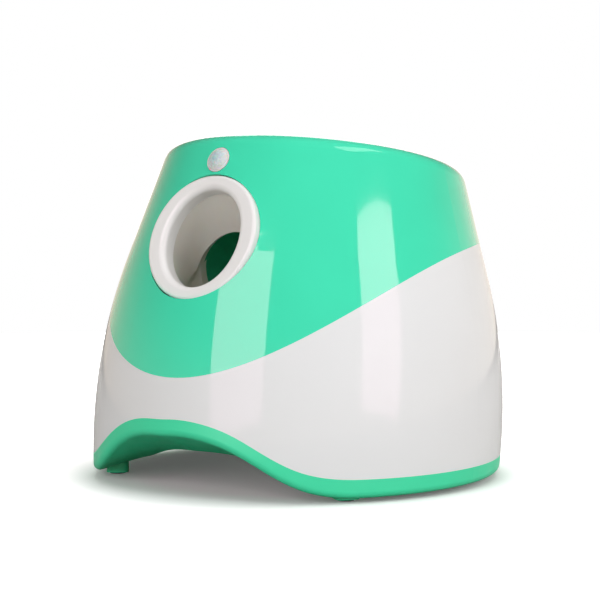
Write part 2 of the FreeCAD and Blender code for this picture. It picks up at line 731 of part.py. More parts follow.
def lens_parts():
    """Domed lens with a thin brim, the sensor can and its little board."""
    frame = lens_frame()
    sphere_radius = (LENS_RADIUS ** 2 + LENS_RISE ** 2) / (2 * LENS_RISE)
    dome = Part.makeSphere(sphere_radius, Vector(0, 0, LENS_RISE - sphere_radius))
    hollow = Part.makeSphere(sphere_radius - 0.9, Vector(0, 0, LENS_RISE - sphere_radius))
    cap = dome.cut(hollow).common(disc(LENS_RADIUS, 0, 20))
    inner, outer = LENS_RADIUS - LENS_BRIM, LENS_RADIUS + LENS_BRIM
    brim = turned([(inner, -WALL - 1), (outer, -WALL - 1), (outer, 0.2), (outer - 0.6, 0.5), (inner, 0.5)])
    lens = placed(cap.fuse(brim), frame)
    can = placed(disc(4.6, -WALL - 5, -0.6).fuse(disc(5.2, -WALL - 5, -WALL - 4.4)), frame)
    board = block((-11, 11), (-7, 7), (-WALL - 6.6, -WALL - 5))
    pegs = [disc(1.2, -WALL - 5, -WALL - 1, side * (LENS_RADIUS - 0.2)) for side in (-1, 1)]
    return lens, can, placed(union([board] + pegs), frame)


# ---------------------------------------------------------------- striker
def striker():
    """Domed head, hollow sleeve, tail collar and rack, all one moulding."""
    top, head_end = -STRIKER_TOP, -STRIKER_TOP - STRIKER_HEAD
    sphere_radius = (STRIKER_RADIUS ** 2 + HEAD_DOME ** 2) / (2 * HEAD_DOME)
    head = disc(STRIKER_RADIUS, head_end, top)
    head = head.common(Part.makeSphere(sphere_radius, Vector(0, 0, top - sphere_radius)))
    sleeve = disc(SLEEVE_RADIUS, -SLEEVE_END, head_end)
    tail = disc(STRIKER_RADIUS, -SLEEVE_END, -SLEEVE_END + 4)
    tail = tail.cut(block((-30, 30), (RACK_OFFSET - 3, 30), (-FAR, 0)))
    bar_top = RACK_OFFSET - 1.25 * RACK_MODULE
    bar = block((-GEAR_FACE / 2, GEAR_FACE / 2), (0, bar_top), (-SLEEVE_END + 3, head_end + 1))
    body = union([head, sleeve, tail, bar] + rack_teeth())
    return placed(body.cut(disc(SLEEVE_BORE, -SLEEVE_END - 1, head_end - 5)), LAUNCH)


def rack_teeth():
    slope = math.tan(math.radians(PRESSURE_ANGLE))
    root = RACK_OFFSET - 1.25 * RACK_MODULE
    tip = RACK_OFFSET + RACK_MODULE
    teeth = []
    for step in range(SECTOR_TEETH):
        middle = -SECTOR_AT + RACK_PITCH * (step - 0.5)
        half_root = RACK_PITCH / 4 - BACKLASH + 1.25 * RACK_MODULE * slope
        half_tip = RACK_PITCH / 4 - BACKLASH - RACK_MODULE * slope
        outline = [(root - 0.5, middle - half_root), (root, middle - half_root), (tip, middle - half_tip),
                   (tip, middle + half_tip), (root, middle + half_root), (root - 0.5, middle + half_root)]
        teeth.append(plate_x(outline, -GEAR_FACE / 2, GEAR_FACE / 2))
    return teeth


def striker_guide():
    """Barrel from the cup down to the rear cap, slotted for the sector gear."""
    barrel = tube(BARREL_OUTER, BARREL_RADIUS, -BARREL_END, -CUP_RADIUS + 8)
    tip = SECTOR_RADIUS + RACK_MODULE
    slot = block((-GEAR_FACE / 2 - 1.5, GEAR_FACE / 2 + 1.5), (0, BARREL_OUTER + 5),
                 (-SECTOR_AT - tip - 2, -SECTOR_AT + tip + 2))
    return placed(barrel.cut(slot), LAUNCH).cut(pocket_volume(DUCT_WALL)).cut(chute_volume(0))


def rear_cap():
    cap = disc(BARREL_OUTER, -BARREL_END - CAP_LENGTH, -BARREL_END)
    spigot = tube(BARREL_RADIUS - 0.05, BARREL_RADIUS - 2, -BARREL_END, -BARREL_END + 1.0)
    return placed(cap.fuse(spigot).cut(disc(ROD_RADIUS, -FAR, 0)), LAUNCH)


def spring_rod():
    return placed(disc(ROD_RADIUS, -BARREL_END - CAP_LENGTH, -STRIKER_TOP - STRIKER_HEAD - 7 - STROKE), LAUNCH)


def main_spring():
    """Compression spring round the rod, between the rear cap and the striker."""
    low, high = -BARREL_END + 0.1, -STRIKER_TOP - STRIKER_HEAD - 5.1
    length = high - low - SPRING_WIRE
    path = Part.makeHelix(length / SPRING_TURNS, length, SPRING_RADIUS)
    half = SPRING_WIRE / 2
    corners = [Vector(SPRING_RADIUS + dr * half, 0, dz * half) for dr, dz in ((-1, -1), (1, -1), (1, 1), (-1, 1))]
    section = Part.makePolygon(corners + corners[:1])
    coil = Part.Wire(path).makePipeShell([section], True, True)
    coil.translate(Vector(0, 0, low + half))
    return placed(coil, LAUNCH)


# ---------------------------------------------------------------- gears
def involute(angle):
    return math.tan(angle) - angle


def gear_outline(teeth, module, ring_teeth, first_angle):
    """Outline of a spur gear in the YZ plane; a tooth points along first_angle."""
    pressure = math.radians(PRESSURE_ANGLE)
    pitch = module * ring_teeth / 2
    base = pitch * math.cos(pressure)
    tip, root = pitch + module, pitch - 1.25 * module
    half_pitch = math.pi / (2 * ring_teeth) - BACKLASH / pitch

    def half_angle(radius):
        roll = math.acos(min(1.0, base / max(radius, base)))
        return half_pitch + involute(pressure) - involute(roll)

    points = []
    for step in range(teeth):
        middle = math.radians(first_angle) + 2 * math.pi * step / ring_teeth
        for radius, side in ((root, -1), (pitch, -1), (tip, -1), (tip, 1), (pitch, 1), (root, 1)):
            angle = middle + side * half_angle(radius)
            points.append((radius * math.cos(angle), radius * math.sin(angle)))
    return points


def spur_gear(teeth, module, centre, face, first_angle):
    outline = gear_outline(teeth, module, teeth, first_angle)
    shifted = [(centre.y + y, centre.z + z) for y, z in outline]
    return plate_x(shifted, face[0], face[1])


RIGHT_FACE = CHASSIS_X + CHASSIS_WALL             # outer side of the right plate
WHEEL_X = (RIGHT_FACE + 1.2, RIGHT_FACE + 1.2 + WHEEL_FACE)
IDLER_X = (WHEEL_X[1] + 1.0, WHEEL_X[1] + 1.0 + PINION_FACE)
COVER_X = (IDLER_X[1] + 1.5, IDLER_X[1] + 4.0)


def sector_gear():
    """Incomplete gear that winds the striker and then lets it go."""
    down = math.degrees(math.atan2(-LAUNCH.Rotation.multVec(Vector(0, 1, 0)).z,
                                   -LAUNCH.Rotation.multVec(Vector(0, 1, 0)).y))
    outline = gear_outline(SECTOR_TEETH, RACK_MODULE, SECTOR_RING_TEETH, down)
    back = SECTOR_RADIUS * 0.62
    start = math.degrees(math.atan2(outline[0][1], outline[0][0]))
    sweep = 360.0 * (SECTOR_TEETH - 0.4) / SECTOR_RING_TEETH
    closing = []
    for step in range(9):
        angle = math.radians(start + sweep + (360.0 - sweep) * (step + 0.5) / 9)
        closing.append((back * math.cos(angle), back * math.sin(angle)))
    points = [(SECTOR_CENTRE.y + y, SECTOR_CENTRE.z + z) for y, z in outline + closing]
    web = plate_x(points, -GEAR_FACE / 2, GEAR_FACE / 2)
    hub = rod_x(SHAFT_RADIUS + 3, -CHASSIS_X + 1, CHASSIS_X - 1, SECTOR_CENTRE)
    return web.fuse(hub).cut(rod_x(SHAFT_RADIUS, -FAR, FAR, SECTOR_CENTRE))


def drive_wheel():
    wheel = spur_gear(WHEEL_TEETH, TRAIN_MODULE, SECTOR_CENTRE, WHEEL_X, IDLER_BEARING)
    web = TRAIN_MODULE * WHEEL_TEETH / 2 * 0.8
    recess = rod_x(web, WHEEL_X[0] + 4, WHEEL_X[1] + 1, SECTOR_CENTRE)
    recess = recess.cut(rod_x(SHAFT_RADIUS + 4, WHEEL_X[0], WHEEL_X[1] + 2, SECTOR_CENTRE))
    wheel = wheel.cut(recess)
    for step in range(6):
        spot = polar(SECTOR_CENTRE, web * 0.65, 60 * step)
        wheel = wheel.cut(rod_x(3.4, WHEEL_X[0] - 1, WHEEL_X[1] + 1, spot))
    return wheel.cut(rod_x(SHAFT_RADIUS, -FAR, FAR, SECTOR_CENTRE))


def sector_shaft():
    return rod_x(SHAFT_RADIUS, -RIGHT_FACE - 1.5, COVER_X[1], SECTOR_CENTRE)


def idler_gear():
    """Compound gear: the small one meets the drive wheel, the large one the pinion."""
    small_angle = IDLER_BEARING + 180 + 180.0 / IDLER_SMALL_TEETH
    small = spur_gear(IDLER_SMALL_TEETH, TRAIN_MODULE, IDLER_CENTRE,
                      (WHEEL_X[0], IDLER_X[0] + 0.1), small_angle)
    large = spur_gear(IDLER_LARGE_TEETH, TRAIN_MODULE, IDLER_CENTRE, IDLER_X, PINION_BEARING)
    return small.fuse(large).cut(rod_x(IDLER_SHAFT_RADIUS + RUN_GAP, -FAR, FAR, IDLER_CENTRE))


def idler_shaft():
    return rod_x(IDLER_SHAFT_RADIUS, CHASSIS_X, COVER_X[1], IDLER_CENTRE)


def motor_pinion():
    first = PINION_BEARING + 180 + 180.0 / PINION_TEETH
    pinion = spur_gear(PINION_TEETH, TRAIN_MODULE, MOTOR_CENTRE, IDLER_X, first)
    return pinion.fuse(rod_x(MOTOR_SHAFT, CHASSIS_X + 0.6, IDLER_X[1] + 0.8, MOTOR_CENTRE))


def motor_body():
    """Round can with two flats, a front boss and terminals."""
    low, high = -CHASSIS_X + 0.4, CHASSIS_X
    can = rod_x(MOTOR_RADIUS, low + 4, high, MOTOR_CENTRE)
    flats = block((low, high), (MOTOR_CENTRE.y - 30, MOTOR_CENTRE.y + 30),
                  (MOTOR_CENTRE.z - MOTOR_RADIUS + 1.6, MOTOR_CENTRE.z + MOTOR_RADIUS - 1.6))
    can = can.common(flats)
    end = rod_x(MOTOR_RADIUS - 4, low + 2, low + 4, MOTOR_CENTRE)
    boss = rod_x(4.8, high, high + CHASSIS_WALL - 0.5, MOTOR_CENTRE)
    tags = [block((low, low + 3), (MOTOR_CENTRE.y + dy - 1.5, MOTOR_CENTRE.y + dy + 1.5),
                  (MOTOR_CENTRE.z - 0.3, MOTOR_CENTRE.z + 0.3)) for dy in (-7, 7)]
    bore = rod_x(MOTOR_SHAFT + RUN_GAP, high - 6, FAR, MOTOR_CENTRE)
    return union([can, end, boss] + tags).cut(bore)


# ---------------------------------------------------------------- chassis
def chassis_outline():
    return [(-70, PLATE_TOP), (8, PLATE_TOP), (8, BAY_TOP + BAY_WALL + 1.5), (50, BAY_TOP + BAY_WALL + 1.5),
            (50, 98), (34, 112), (18, 145), (-38, 145), (-70, 92)]


def chassis_plate(side):
    inner, outer = CHASSIS_X, RIGHT_FACE
    span = sorted((side * inner, side * outer))
    plate = plate_x(chassis_outline(), span[0], span[1])
    tabs = []
    for y in (-62, -22):
        tab_x = sorted((side * inner, side * (outer + 10)))
        tab = block(tab_x, (y - 7, y + 7), (PLATE_TOP, PLATE_TOP + 3))
        tabs.append(tab.cut(disc(SCREW_RADIUS + 0.2, 0, 60, side * (outer + 5), y)))
    plate = union([plate] + tabs)
    window = rod_x(15, -FAR, FAR, Vector(0, -48, 58))
    plate = plate.cut(window).cut(chute_saddle())
    return plate.cut(rod_x(SHAFT_RADIUS + RUN_GAP, -FAR, FAR, SECTOR_CENTRE))


def chute_saddle():
    """The chute's outside with the gap that lets it lie on the chassis plates."""
    return chute_volume(DUCT_WALL + 0.15)


def chassis_left():
    posts = [rod_x(3.0, -RIGHT_FACE - 7, -RIGHT_FACE + 1, Vector(0, y, z)) for y, z in board_holes()]
    return union([chassis_plate(-1)] + posts)


def chassis_right():
    plate = chassis_plate(1)
    plate = plate.cut(rod_x(IDLER_SHAFT_RADIUS, 0, FAR, IDLER_CENTRE))
    plate = plate.cut(rod_x(5.0, 0, FAR, MOTOR_CENTRE))
    posts = [rod_x(3.2, RIGHT_FACE - 1, COVER_X[0], point) for point in cover_posts()]
    return union([plate] + posts)


def cover_posts():
    return [polar(SECTOR_CENTRE, 30.0, 130), polar(SECTOR_CENTRE, 30.0, 235),
            polar(IDLER_CENTRE, 22.0, 40)]


def gear_cover():
    """Outer bearing plate of the gear train, carried on three posts."""
    outline = [Vector(COVER_X[0], p.y, p.z) for p in
               [polar(q, 5, a) for q, a in zip(cover_posts() + [MOTOR_CENTRE], (130, 235, 40, -45))]]
    order = [outline[0], outline[1], outline[3], outline[2]]
    plate = Part.Face(Part.makePolygon(order + order[:1])).extrude(Vector(COVER_X[1] - COVER_X[0], 0, 0))
    plate = plate.makeFillet(4.0, [e for e in plate.Edges if abs(e.Length - (COVER_X[1] - COVER_X[0])) < 0.01])
    plate = plate.cut(rod_x(SHAFT_RADIUS + RUN_GAP, 0, FAR, SECTOR_CENTRE))
    return plate.cut(rod_x(IDLER_SHAFT_RADIUS, 0, FAR, IDLER_CENTRE))


def chassis_screws():
    screws = []
    for side in (-1, 1):
        for y in (-62, -22):
            x = side * (RIGHT_FACE + 5)
            head = disc(SCREW_HEAD_RADIUS, PLATE_TOP + 3, PLATE_TOP + 5, x, y)
            screws.append(head.fuse(disc(SCREW_RADIUS, PLATE_TOP, PLATE_TOP + 3, x, y)))
    return Part.makeCompound(screws)


def base_screws():
    screws = []
    for angle in foot_angles():
        centre = foot_centre(angle)
        head = disc(SCREW_HEAD_RADIUS, SCREW_SEAT_Z - 2.2, SCREW_SEAT_Z, centre.x, centre.y)
        screws.append(head.fuse(disc(SCREW_RADIUS, SCREW_SEAT_Z, SCREW_TIP_Z, centre.x, centre.y)))
    return Part.makeCompound(screws)


def rubber_feet():
    feet = []
    for angle in foot_angles():
        centre = foot_centre(angle)
        foot = disc(PAD_RADIUS, 0, FOOT_CLEAR + PAD_SINK, centre.x, centre.y)
        feet.append(foot.makeChamfer(0.6, [e for e in foot.Edges if on_circle(e, PAD_RADIUS, 0)]))
    return Part.makeCompound(feet)


# ---------------------------------------------------------------- electronics
BOARD_Y = (-66.0, -8.0)
BOARD_Z = (46.0, 88.0)


def board_holes():
    return [(BOARD_Y[0] + 5, BOARD_Z[0] + 5), (BOARD_Y[1] - 5, BOARD_Z[0] + 5),
            (BOARD_Y[0] + 5, BOARD_Z[1] - 5), (BOARD_Y[1] - 5, BOARD_Z[1] - 5)]


def main_board():
    face = -RIGHT_FACE - 7
    return block((face - 1.6, face), BOARD_Y, BOARD_Z)


def board_parts():
    """Relay, capacitor, buzzer and plug header soldered to the main board."""
    face = -RIGHT_FACE - 8.6
    middle = (BOARD_Z[0] + BOARD_Z[1]) / 2
    relay = block((face - 15, face), (-56, -38), (middle - 8, middle + 8))
    capacitor = rod_x(5, face - 13, face, Vector(0, -30, middle + 8))
    buzzer = rod_x(6, face - 7, face, Vector(0, -30, middle - 9))
    header = block((face - 7, face), (-18, -13), (middle - 12, middle + 12))
    return Part.makeCompound([relay, capacitor, buzzer, header])


# ---------------------------------------------------------------- control panel
def back_y(z):
    return wall_y(z, 1)


def slot_shape(width, height, gap, y_low, y_high, z):
    """Rounded-end prism along Y."""
    radius = height / 2 + gap
    reach = (width - height) / 2
    ends = [Part.makeCylinder(radius, y_high - y_low, Vector(side * reach, y_low, z), Vector(0, 1, 0))
            for side in (-1, 1)]
    return union(ends + [block((-reach, reach), (y_low, y_high), (z - radius, z + radius))])


def panel_opening(gap):
    return slot_shape(PANEL_WIDTH, PANEL_HEIGHT, gap, 60, FAR, PANEL_Z)


def jack_opening():
    return y_cylinder(JACK_RIM + FIT_GAP, 80, FAR, 0, JACK_Z)


SWITCH_DEPTH = 14.0


def panel_face():
    """Depth of the flat mounting face of the switch and the button behind the panel."""
    return back_y(PANEL_Z) - 4.5


def control_panel():
    """Slice of the tub's wall with raised rims round the switch and the button."""
    skin = tub_solid(0.4, 0).cut(tub_solid(WALL + 0.4, 0))
    panel = skin.common(slot_shape(PANEL_WIDTH, PANEL_HEIGHT, 0, 60, FAR, PANEL_Z))
    face = panel_face()
    pad = slot_shape(PANEL_WIDTH - 8, PANEL_HEIGHT - 8, 0, face - WALL, face + 3, PANEL_Z)
    panel = panel.fuse(pad.common(tub_solid(WALL, 0)))
    rocker_hole = block((ROCKER_X - ROCKER_WIDTH / 2 - 2, ROCKER_X + ROCKER_WIDTH / 2 + 2),
                        (0, FAR), (PANEL_Z - ROCKER_HEIGHT / 2 - 2, PANEL_Z + ROCKER_HEIGHT / 2 + 2))
    button_hole = y_cylinder(BUTTON_RADIUS + SLIDE_GAP, 0, FAR, BUTTON_X, PANEL_Z)
    panel = panel.cut(rocker_hole).cut(button_hole)
    for x in led_places():
        panel = panel.cut(y_cylinder(LED_RADIUS + 0.1, 0, FAR, x, PANEL_Z))
    posts = [y_cylinder(2.5, face - WALL - 7, face - WALL + 1, x, PANEL_Z + dz)
             for x, dz in ((-18, 8), (-18, -8), (5.0, 8.5), (5.0, -8.5))]
    return union([panel] + posts)


def led_places():
    return [LED_X - LED_PITCH * (step - (LED_COUNT - 1) / 2) for step in range(LED_COUNT)]


def y_cylinder(radius, low, high, x, z):
    return Part.makeCylinder(radius, high - low, Vector(x, low, z), Vector(0, 1, 0))


def led_lenses():
    face = panel_face()
    top = back_y(PANEL_Z) - 0.6
    lenses = [y_cylinder(LED_RADIUS, face - WALL - 5.4, top - 1.2, x, PANEL_Z) for x in led_places()]
    return Part.makeCompound(lenses)


def distance_button():
    """Round cap on a stem; it travels towards the front."""
    face = panel_face()
    cap = y_cylinder(BUTTON_RADIUS, face - 1.0, back_y(PANEL_Z) + 1.2, BUTTON_X, PANEL_Z)
    cap = cap.makeFillet(1.2, [e for e in cap.Edges if is_outer_rim(e)])
    brim = y_cylinder(BUTTON_RADIUS + 1.2, face - WALL - 1.6, face - WALL - SLIDE_GAP, BUTTON_X, PANEL_Z)
    neck = y_cylinder(BUTTON_RADIUS, face - WALL - 1.0, face, BUTTON_X, PANEL_Z)
    return union([cap, neck, brim])


def is_outer_rim(edge):
    return (isinstance(edge.Curve, Part.Circle)
            and abs(edge.Curve.Center.y - back_y(PANEL_Z) - 1.2) < 0.01)


def control_board():
    """Board behind the panel with the tact switch under the button."""
    face = panel_face() - WALL - 7
    board = block((-32, 7), (face - 1.6, face), (PANEL_Z - 11, PANEL_Z + 11))
    tact = block((BUTTON_X - 3, BUTTON_X + 3), (face - 0.1, face + 3.4), (PANEL_Z - 3, PANEL_Z + 3))
    return board.fuse(tact)


def switch_body():
    """Rocker switch housing, open towards the back of the tub."""
    face = back_y(PANEL_Z) - 0.6
    half_x, half_z = ROCKER_WIDTH / 2, ROCKER_HEIGHT / 2
    outer = block((ROCKER_X - half_x - 1.8, ROCKER_X + half_x + 1.8), (face - SWITCH_DEPTH, face + 0.4),
                  (PANEL_Z - half_z - 1.8, PANEL_Z + half_z + 1.8))
    room = block((ROCKER_X - half_x - SLIDE_GAP, ROCKER_X + half_x + SLIDE_GAP), (face - 9, face + 5),
                 (PANEL_Z - half_z - SLIDE_GAP, PANEL_Z + half_z + SLIDE_GAP))
    tags = [block((ROCKER_X - 2, ROCKER_X + 2), (face - SWITCH_DEPTH - 6, face - SWITCH_DEPTH),
                  (PANEL_Z + dz - 0.4, PANEL_Z + dz + 0.4)) for dz in (-6, 6)]
    pin = rod_x(0.9, ROCKER_X - half_x - 1, ROCKER_X + half_x + 1, rocker_pivot())
    return union([outer.cut(room)] + tags).fuse(pin)


def rocker_pivot():
    return Vector(ROCKER_X, back_y(PANEL_Z) - 4.0, PANEL_Z)


def power_rocker():
    """Rocker resting in its off position, turned about the pin through the housing."""
    pivot = rocker_pivot()
    reach = ROCKER_HEIGHT / 2 - 0.8
    outline = [(-3.4, -2.6), (-3.4, 2.6), (0.4, reach - 0.6), (4.2, reach), (2.9, 0), (4.2, -reach),
               (0.4, -reach + 0.6)]
    shifted = [(pivot.y + y, pivot.z + z) for y, z in outline]
    body = plate_x(shifted, ROCKER_X - ROCKER_WIDTH / 2, ROCKER_X + ROCKER_WIDTH / 2)
    body = body.cut(rod_x(0.9 + RUN_GAP, -FAR, FAR, pivot))
    body.rotate(pivot, AXIS_X, -ROCKER_TILT)
    return body


def dc_jack():
    """Barrel socket in the lower shell's wall: a stranger's plug goes in here."""
    outside = back_y(JACK_Z)
    rim = y_cylinder(JACK_RIM, outside - 7, outside + 0.3, 0, JACK_Z)
    body = block((-5, 5), (outside - 17, outside - 6), (JACK_Z - 5.5, JACK_Z + 5.5))
    nut = y_cylinder(JACK_RIM + 2, outside - WALL - 3, outside - WALL - 0.8, 0, JACK_Z)
    bore = y_cylinder(JACK_BORE, outside - 10, outside + 2, 0, JACK_Z)
    pin = y_cylinder(JACK_PIN, outside - 10.5, outside - 1, 0, JACK_Z)
    return union([rim, body, nut]).cut(bore).fuse(pin)


# ---------------------------------------------------------------- ball switch
LEVER_PIVOT = BALL_CENTRE + Vector(0, 92.0, -20.0)
LEVER_WIDTH = 4.0
LEVER_REACH = 38.0


def lever_slot():
    tip_y = LEVER_PIVOT.y - LEVER_REACH
    return block((-LEVER_WIDTH / 2 - 1, LEVER_WIDTH / 2 + 1), (tip_y - 2, tip_y + 16), (100, 140))


def ball_switch_lever():
    """Sprung wire lever whose tip stands up through the floor of the chute."""
    y, z = LEVER_PIVOT.y, LEVER_PIVOT.z
    outline = [(y + 1.5, z - 0.6), (y + 1.5, z + 0.6), (y - 22, z + 0.9), (y - 31, z + 7.4),
               (y - 35, z + 7.4), (y - 38, z + 3.4), (y - 37, z + 2.8), (y - 34.4, z + 6.2),
               (y - 31.6, z + 6.2), (y - 22.6, z - 0.3)]
    blade = plate_x(outline, -LEVER_WIDTH / 2, LEVER_WIDTH / 2)
    eye = rod_x(2.0, -LEVER_WIDTH / 2, LEVER_WIDTH / 2, LEVER_PIVOT)
    return blade.fuse(eye).cut(rod_x(0.8 + RUN_GAP, -FAR, FAR, LEVER_PIVOT))


def ball_switch():
    """Micro-switch on a bracket between the chassis plates."""
    y, z = LEVER_PIVOT.y, LEVER_PIVOT.z
    body = block((-3.2, 3.2), (y - 3, y + 15), (z - 11, z - 2.6))
    ears = [block(span, (y - 2, y + 3), (z - 3, z + 2)) for span in ((-4.4, -2.6), (2.6, 4.4))]
    pin = rod_x(0.8, -4.4, 4.4, LEVER_PIVOT)
    return union([body] + ears + [pin])


def switch_bracket():
    y, z = LEVER_PIVOT.y, LEVER_PIVOT.z
    bar = block((-CHASSIS_X + 0.1, CHASSIS_X - 0.1), (y - 3, y + 15), (z - 13, z - 11))
    return bar


# ---------------------------------------------------------------- build
def build():
    os.makedirs("parts", exist_ok=True)
    upper, lower = shell_parts()
    tray = base_tray(tub_solid(0, 0))
    lens, can, sensor_board = lens_parts()
    nodes = {
        "upper_shell": upper, "lower_shell": lower, "base_tray": tray,
        "hopper_bowl": hopper_bowl(), "muzzle_bezel": muzzle_bezel(),
        "launch_pocket": launch_pocket(), "chute_left": chute_half(-1), "chute_right": chute_half(1),
        "pir_lens": lens, "pir_sensor": can, "pir_board": sensor_board,
        "striker_guide": striker_guide(), "striker": striker(), "rear_cap": rear_cap(),
        "spring_rod": spring_rod(), "main_spring": main_spring(),
        "sector_gear": sector_gear(), "drive_wheel": drive_wheel(), "sector_shaft": sector_shaft(),
        "idler_gear": idler_gear(), "idler_shaft": idler_shaft(), "motor_pinion": motor_pinion(),
        "motor_body": motor_body(), "chassis_left": chassis_left(), "chassis_right": chassis_right(),
        "gear_cover": gear_cover(), "chassis_screws": chassis_screws(),
        "base_screws": base_screws(), "rubber_feet": rubber_feet(),
        "battery_bay": battery_bay(), "battery_door": battery_door(),
        "battery_cells": battery_cells(),
        "battery_contacts": battery_contacts(), "main_board": main_board(),
        "board_parts": board_parts(), "control_panel": control_panel(),
        "switch_body": switch_body(), "power_rocker": power_rocker(),
        "distance_button": distance_button(), "led_lenses": led_lenses(),
        "control_board": control_board(), "dc_jack": dc_jack(),
        "ball_switch": ball_switch(), "ball_switch_lever": ball_switch_lever(),
        "switch_bracket": switch_bracket(),
    }
    for name, shape in nodes.items():
        export(name, shape)
    return nodes


build()
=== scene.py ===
import math

import bmesh
import bpy
from bpy.props import FloatProperty, FloatVectorProperty, PointerProperty
from mathutils import Matrix, Vector
from mathutils.bvhtree import BVHTree


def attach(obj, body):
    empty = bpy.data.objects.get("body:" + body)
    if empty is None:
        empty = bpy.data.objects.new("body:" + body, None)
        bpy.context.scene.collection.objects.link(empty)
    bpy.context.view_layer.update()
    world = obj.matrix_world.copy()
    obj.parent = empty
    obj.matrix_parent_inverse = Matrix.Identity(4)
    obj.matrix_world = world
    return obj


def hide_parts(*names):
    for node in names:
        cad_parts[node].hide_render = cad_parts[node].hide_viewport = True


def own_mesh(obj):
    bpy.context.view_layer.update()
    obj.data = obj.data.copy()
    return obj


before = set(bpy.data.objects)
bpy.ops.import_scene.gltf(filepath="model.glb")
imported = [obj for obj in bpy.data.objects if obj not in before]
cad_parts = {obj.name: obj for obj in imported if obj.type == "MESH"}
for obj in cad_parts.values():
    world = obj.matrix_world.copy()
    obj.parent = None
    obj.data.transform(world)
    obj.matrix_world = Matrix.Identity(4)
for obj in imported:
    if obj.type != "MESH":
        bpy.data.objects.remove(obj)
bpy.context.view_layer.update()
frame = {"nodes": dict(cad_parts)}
NODES = frame["nodes"]

bl_info = {
    "name": "Ball launcher dressing",
    "version": (1, 0, 0),
    "blender": (4, 5, 0),
    "location": "3D View > Sidebar > Launcher",
    "description": "Finishes, small parts and studio for the automatic dog ball launcher",
    "category": "Object",
}

MM = 0.001
SHARP = math.radians(32)            # an edge that turns by more than this stays sharp
FORWARD = Vector((0, -1, 0))        # the way the muzzle looks

# Where the CAD nodes are that the pieces below fit, in millimetres and degrees.
LENS_SEAT = (0, -91.753, 218.6)     # middle of the lens's seat in the green shell
LENS_LEAN = 67.1
LENS_RISE = 3.3                     # height of the dome over its foot
LENS_FOOT = 0.5                     # height of that foot over the seat
LENS_WALL = 1.0
LENS_BORE = 6.0                     # radii of the collar behind the dome
LENS_BRIM = 8.8
LENS_SKIRT = 4.0                    # depth of that collar
FACET_ROWS = ((0.0, 0.29, 1), (0.29, 0.64, 6), (0.64, 1.0, 12))     # from, to, how many
LAUNCH_SEAT = (0, -86.0, 140.5)     # a point on the striker's axis
LAUNCH_LEAN = 40.0
SPRING_ENDS = (-124.3, -51.1)       # along that axis
SPRING_ROOM = 1.3                   # what the wire's thickness takes off the coil's length
FOOT_RING = 129.2                   # radius on which the four feet stand
FOOT_ANGLES = (49, 118, -118, -49)  # from the front
BASE_SCREW_Z = 8.0
FRAME_SCREWS = [(side * 26.2, y, 34.1) for side in (-1, 1) for y in (-62, -22)]
PANEL_Z = 82.0
ROCKER_X = 17.0
BUTTON_X = -3.5
LAMPS_X = (-29.0, -22.0, -15.0)
REAR_Y = 160.0                      # behind everything, where the search for a rear face begins
MARK_RISE = 0.06                    # how far a mark stands over its piece
MARK_SINK = 0.05                    # how far it reaches into it
BOARD_FACE = -29.8                  # x of the main board's face
BOARD_MIDDLE = 67.0                 # z of its middle
CELL_LENGTH = 50.0
CELL_ENDS = [(-50.95, 26.25 + 26.5 * row, 41.25) for row in range(3)]


def linear(code):
    """An sRGB hex colour, such as "#48d9a8", as linear red, green, blue and alpha."""
    parts = [int(code[i:i + 2], 16) / 255 for i in (1, 3, 5)]
    return tuple(c / 12.92 if c <= 0.04045 else ((c + 0.055) / 1.055) ** 2.4 for c in parts) + (1.0,)


def colour(name, code):
    return FloatVectorProperty(name=name, description=f"Colour of the {name.lower()}", size=4,
                               subtype="COLOR", min=0.0, max=1.0, default=linear(code))


def length(name, mm, description):
    return FloatProperty(name=name, description=description, default=mm * MM, subtype="DISTANCE",
                         unit="LENGTH")


class LauncherColours(bpy.types.PropertyGroup):
    shell: colour("Green shell", "#42dfb4")
    band: colour("White shell", "#e1e1e2")
    tray: colour("Green tray", "#3ddba6")
    bezel: colour("Muzzle bezel", "#eae8e7")
    # The ducts' grey is white plastic darkened as painted shade.
    duct_with_painted_shade: colour("Ball ducts", "#cecac2")
    lens: colour("Sensor lens", "#afccd0")
    gear: colour("Gears", "#e6e2d3")
    brim: colour("Lens brim", "#dedbd9")
    # The chute's dark green is the shell's green darkened as painted shade.
    chute: colour("Chute", "#1f9a70")
    striker: colour("Striker", "#1c7d5b")
    frame: colour("Inner frame", "#4a4c4e")
    panel: colour("Rear panel", "#9aa0a3")
    black: colour("Black plastic", "#1b1c1e")
    board: colour("Circuit board", "#0f5a31")


class LauncherSizes(bpy.types.PropertyGroup):
    lens_radius: length("Lens radius", 7.6, "Radius of the sensor's dome inside its brim")
    facet: length("Lens facet", 0.26, "How far each small lens stands over the dome")
    coil: length("Spring radius", 5.1, "Radius of the main spring, to the middle of its wire")
    wire: length("Spring wire", 1.2, "Thickness of the main spring's wire")
    peel: length("Gloss ripple", 9.0, "Distance between the slow waves in a glossy moulding")
    grain: length("Spark grain", 0.55, "Distance between the grains of a spark-eroded surface")


def add(tree, kind, settings=None, inputs=None):
    """Adds one node, with its settings, and its inputs as values or as sockets to link from."""
    node = tree.nodes.new(kind)
    for name, value in (settings or {}).items():
        setattr(node, name, value)
    for socket, value in (inputs or {}).items():
        if isinstance(value, bpy.types.NodeSocket):
            tree.links.new(value, node.inputs[socket])
        else:
            node.inputs[socket].default_value = value
    return node


def material(name):
    """A new material whose node tree is empty, and that tree."""
    made = bpy.data.materials.new(name)
    made.use_nodes = True
    made.node_tree.nodes.clear()
    return made, made.node_tree


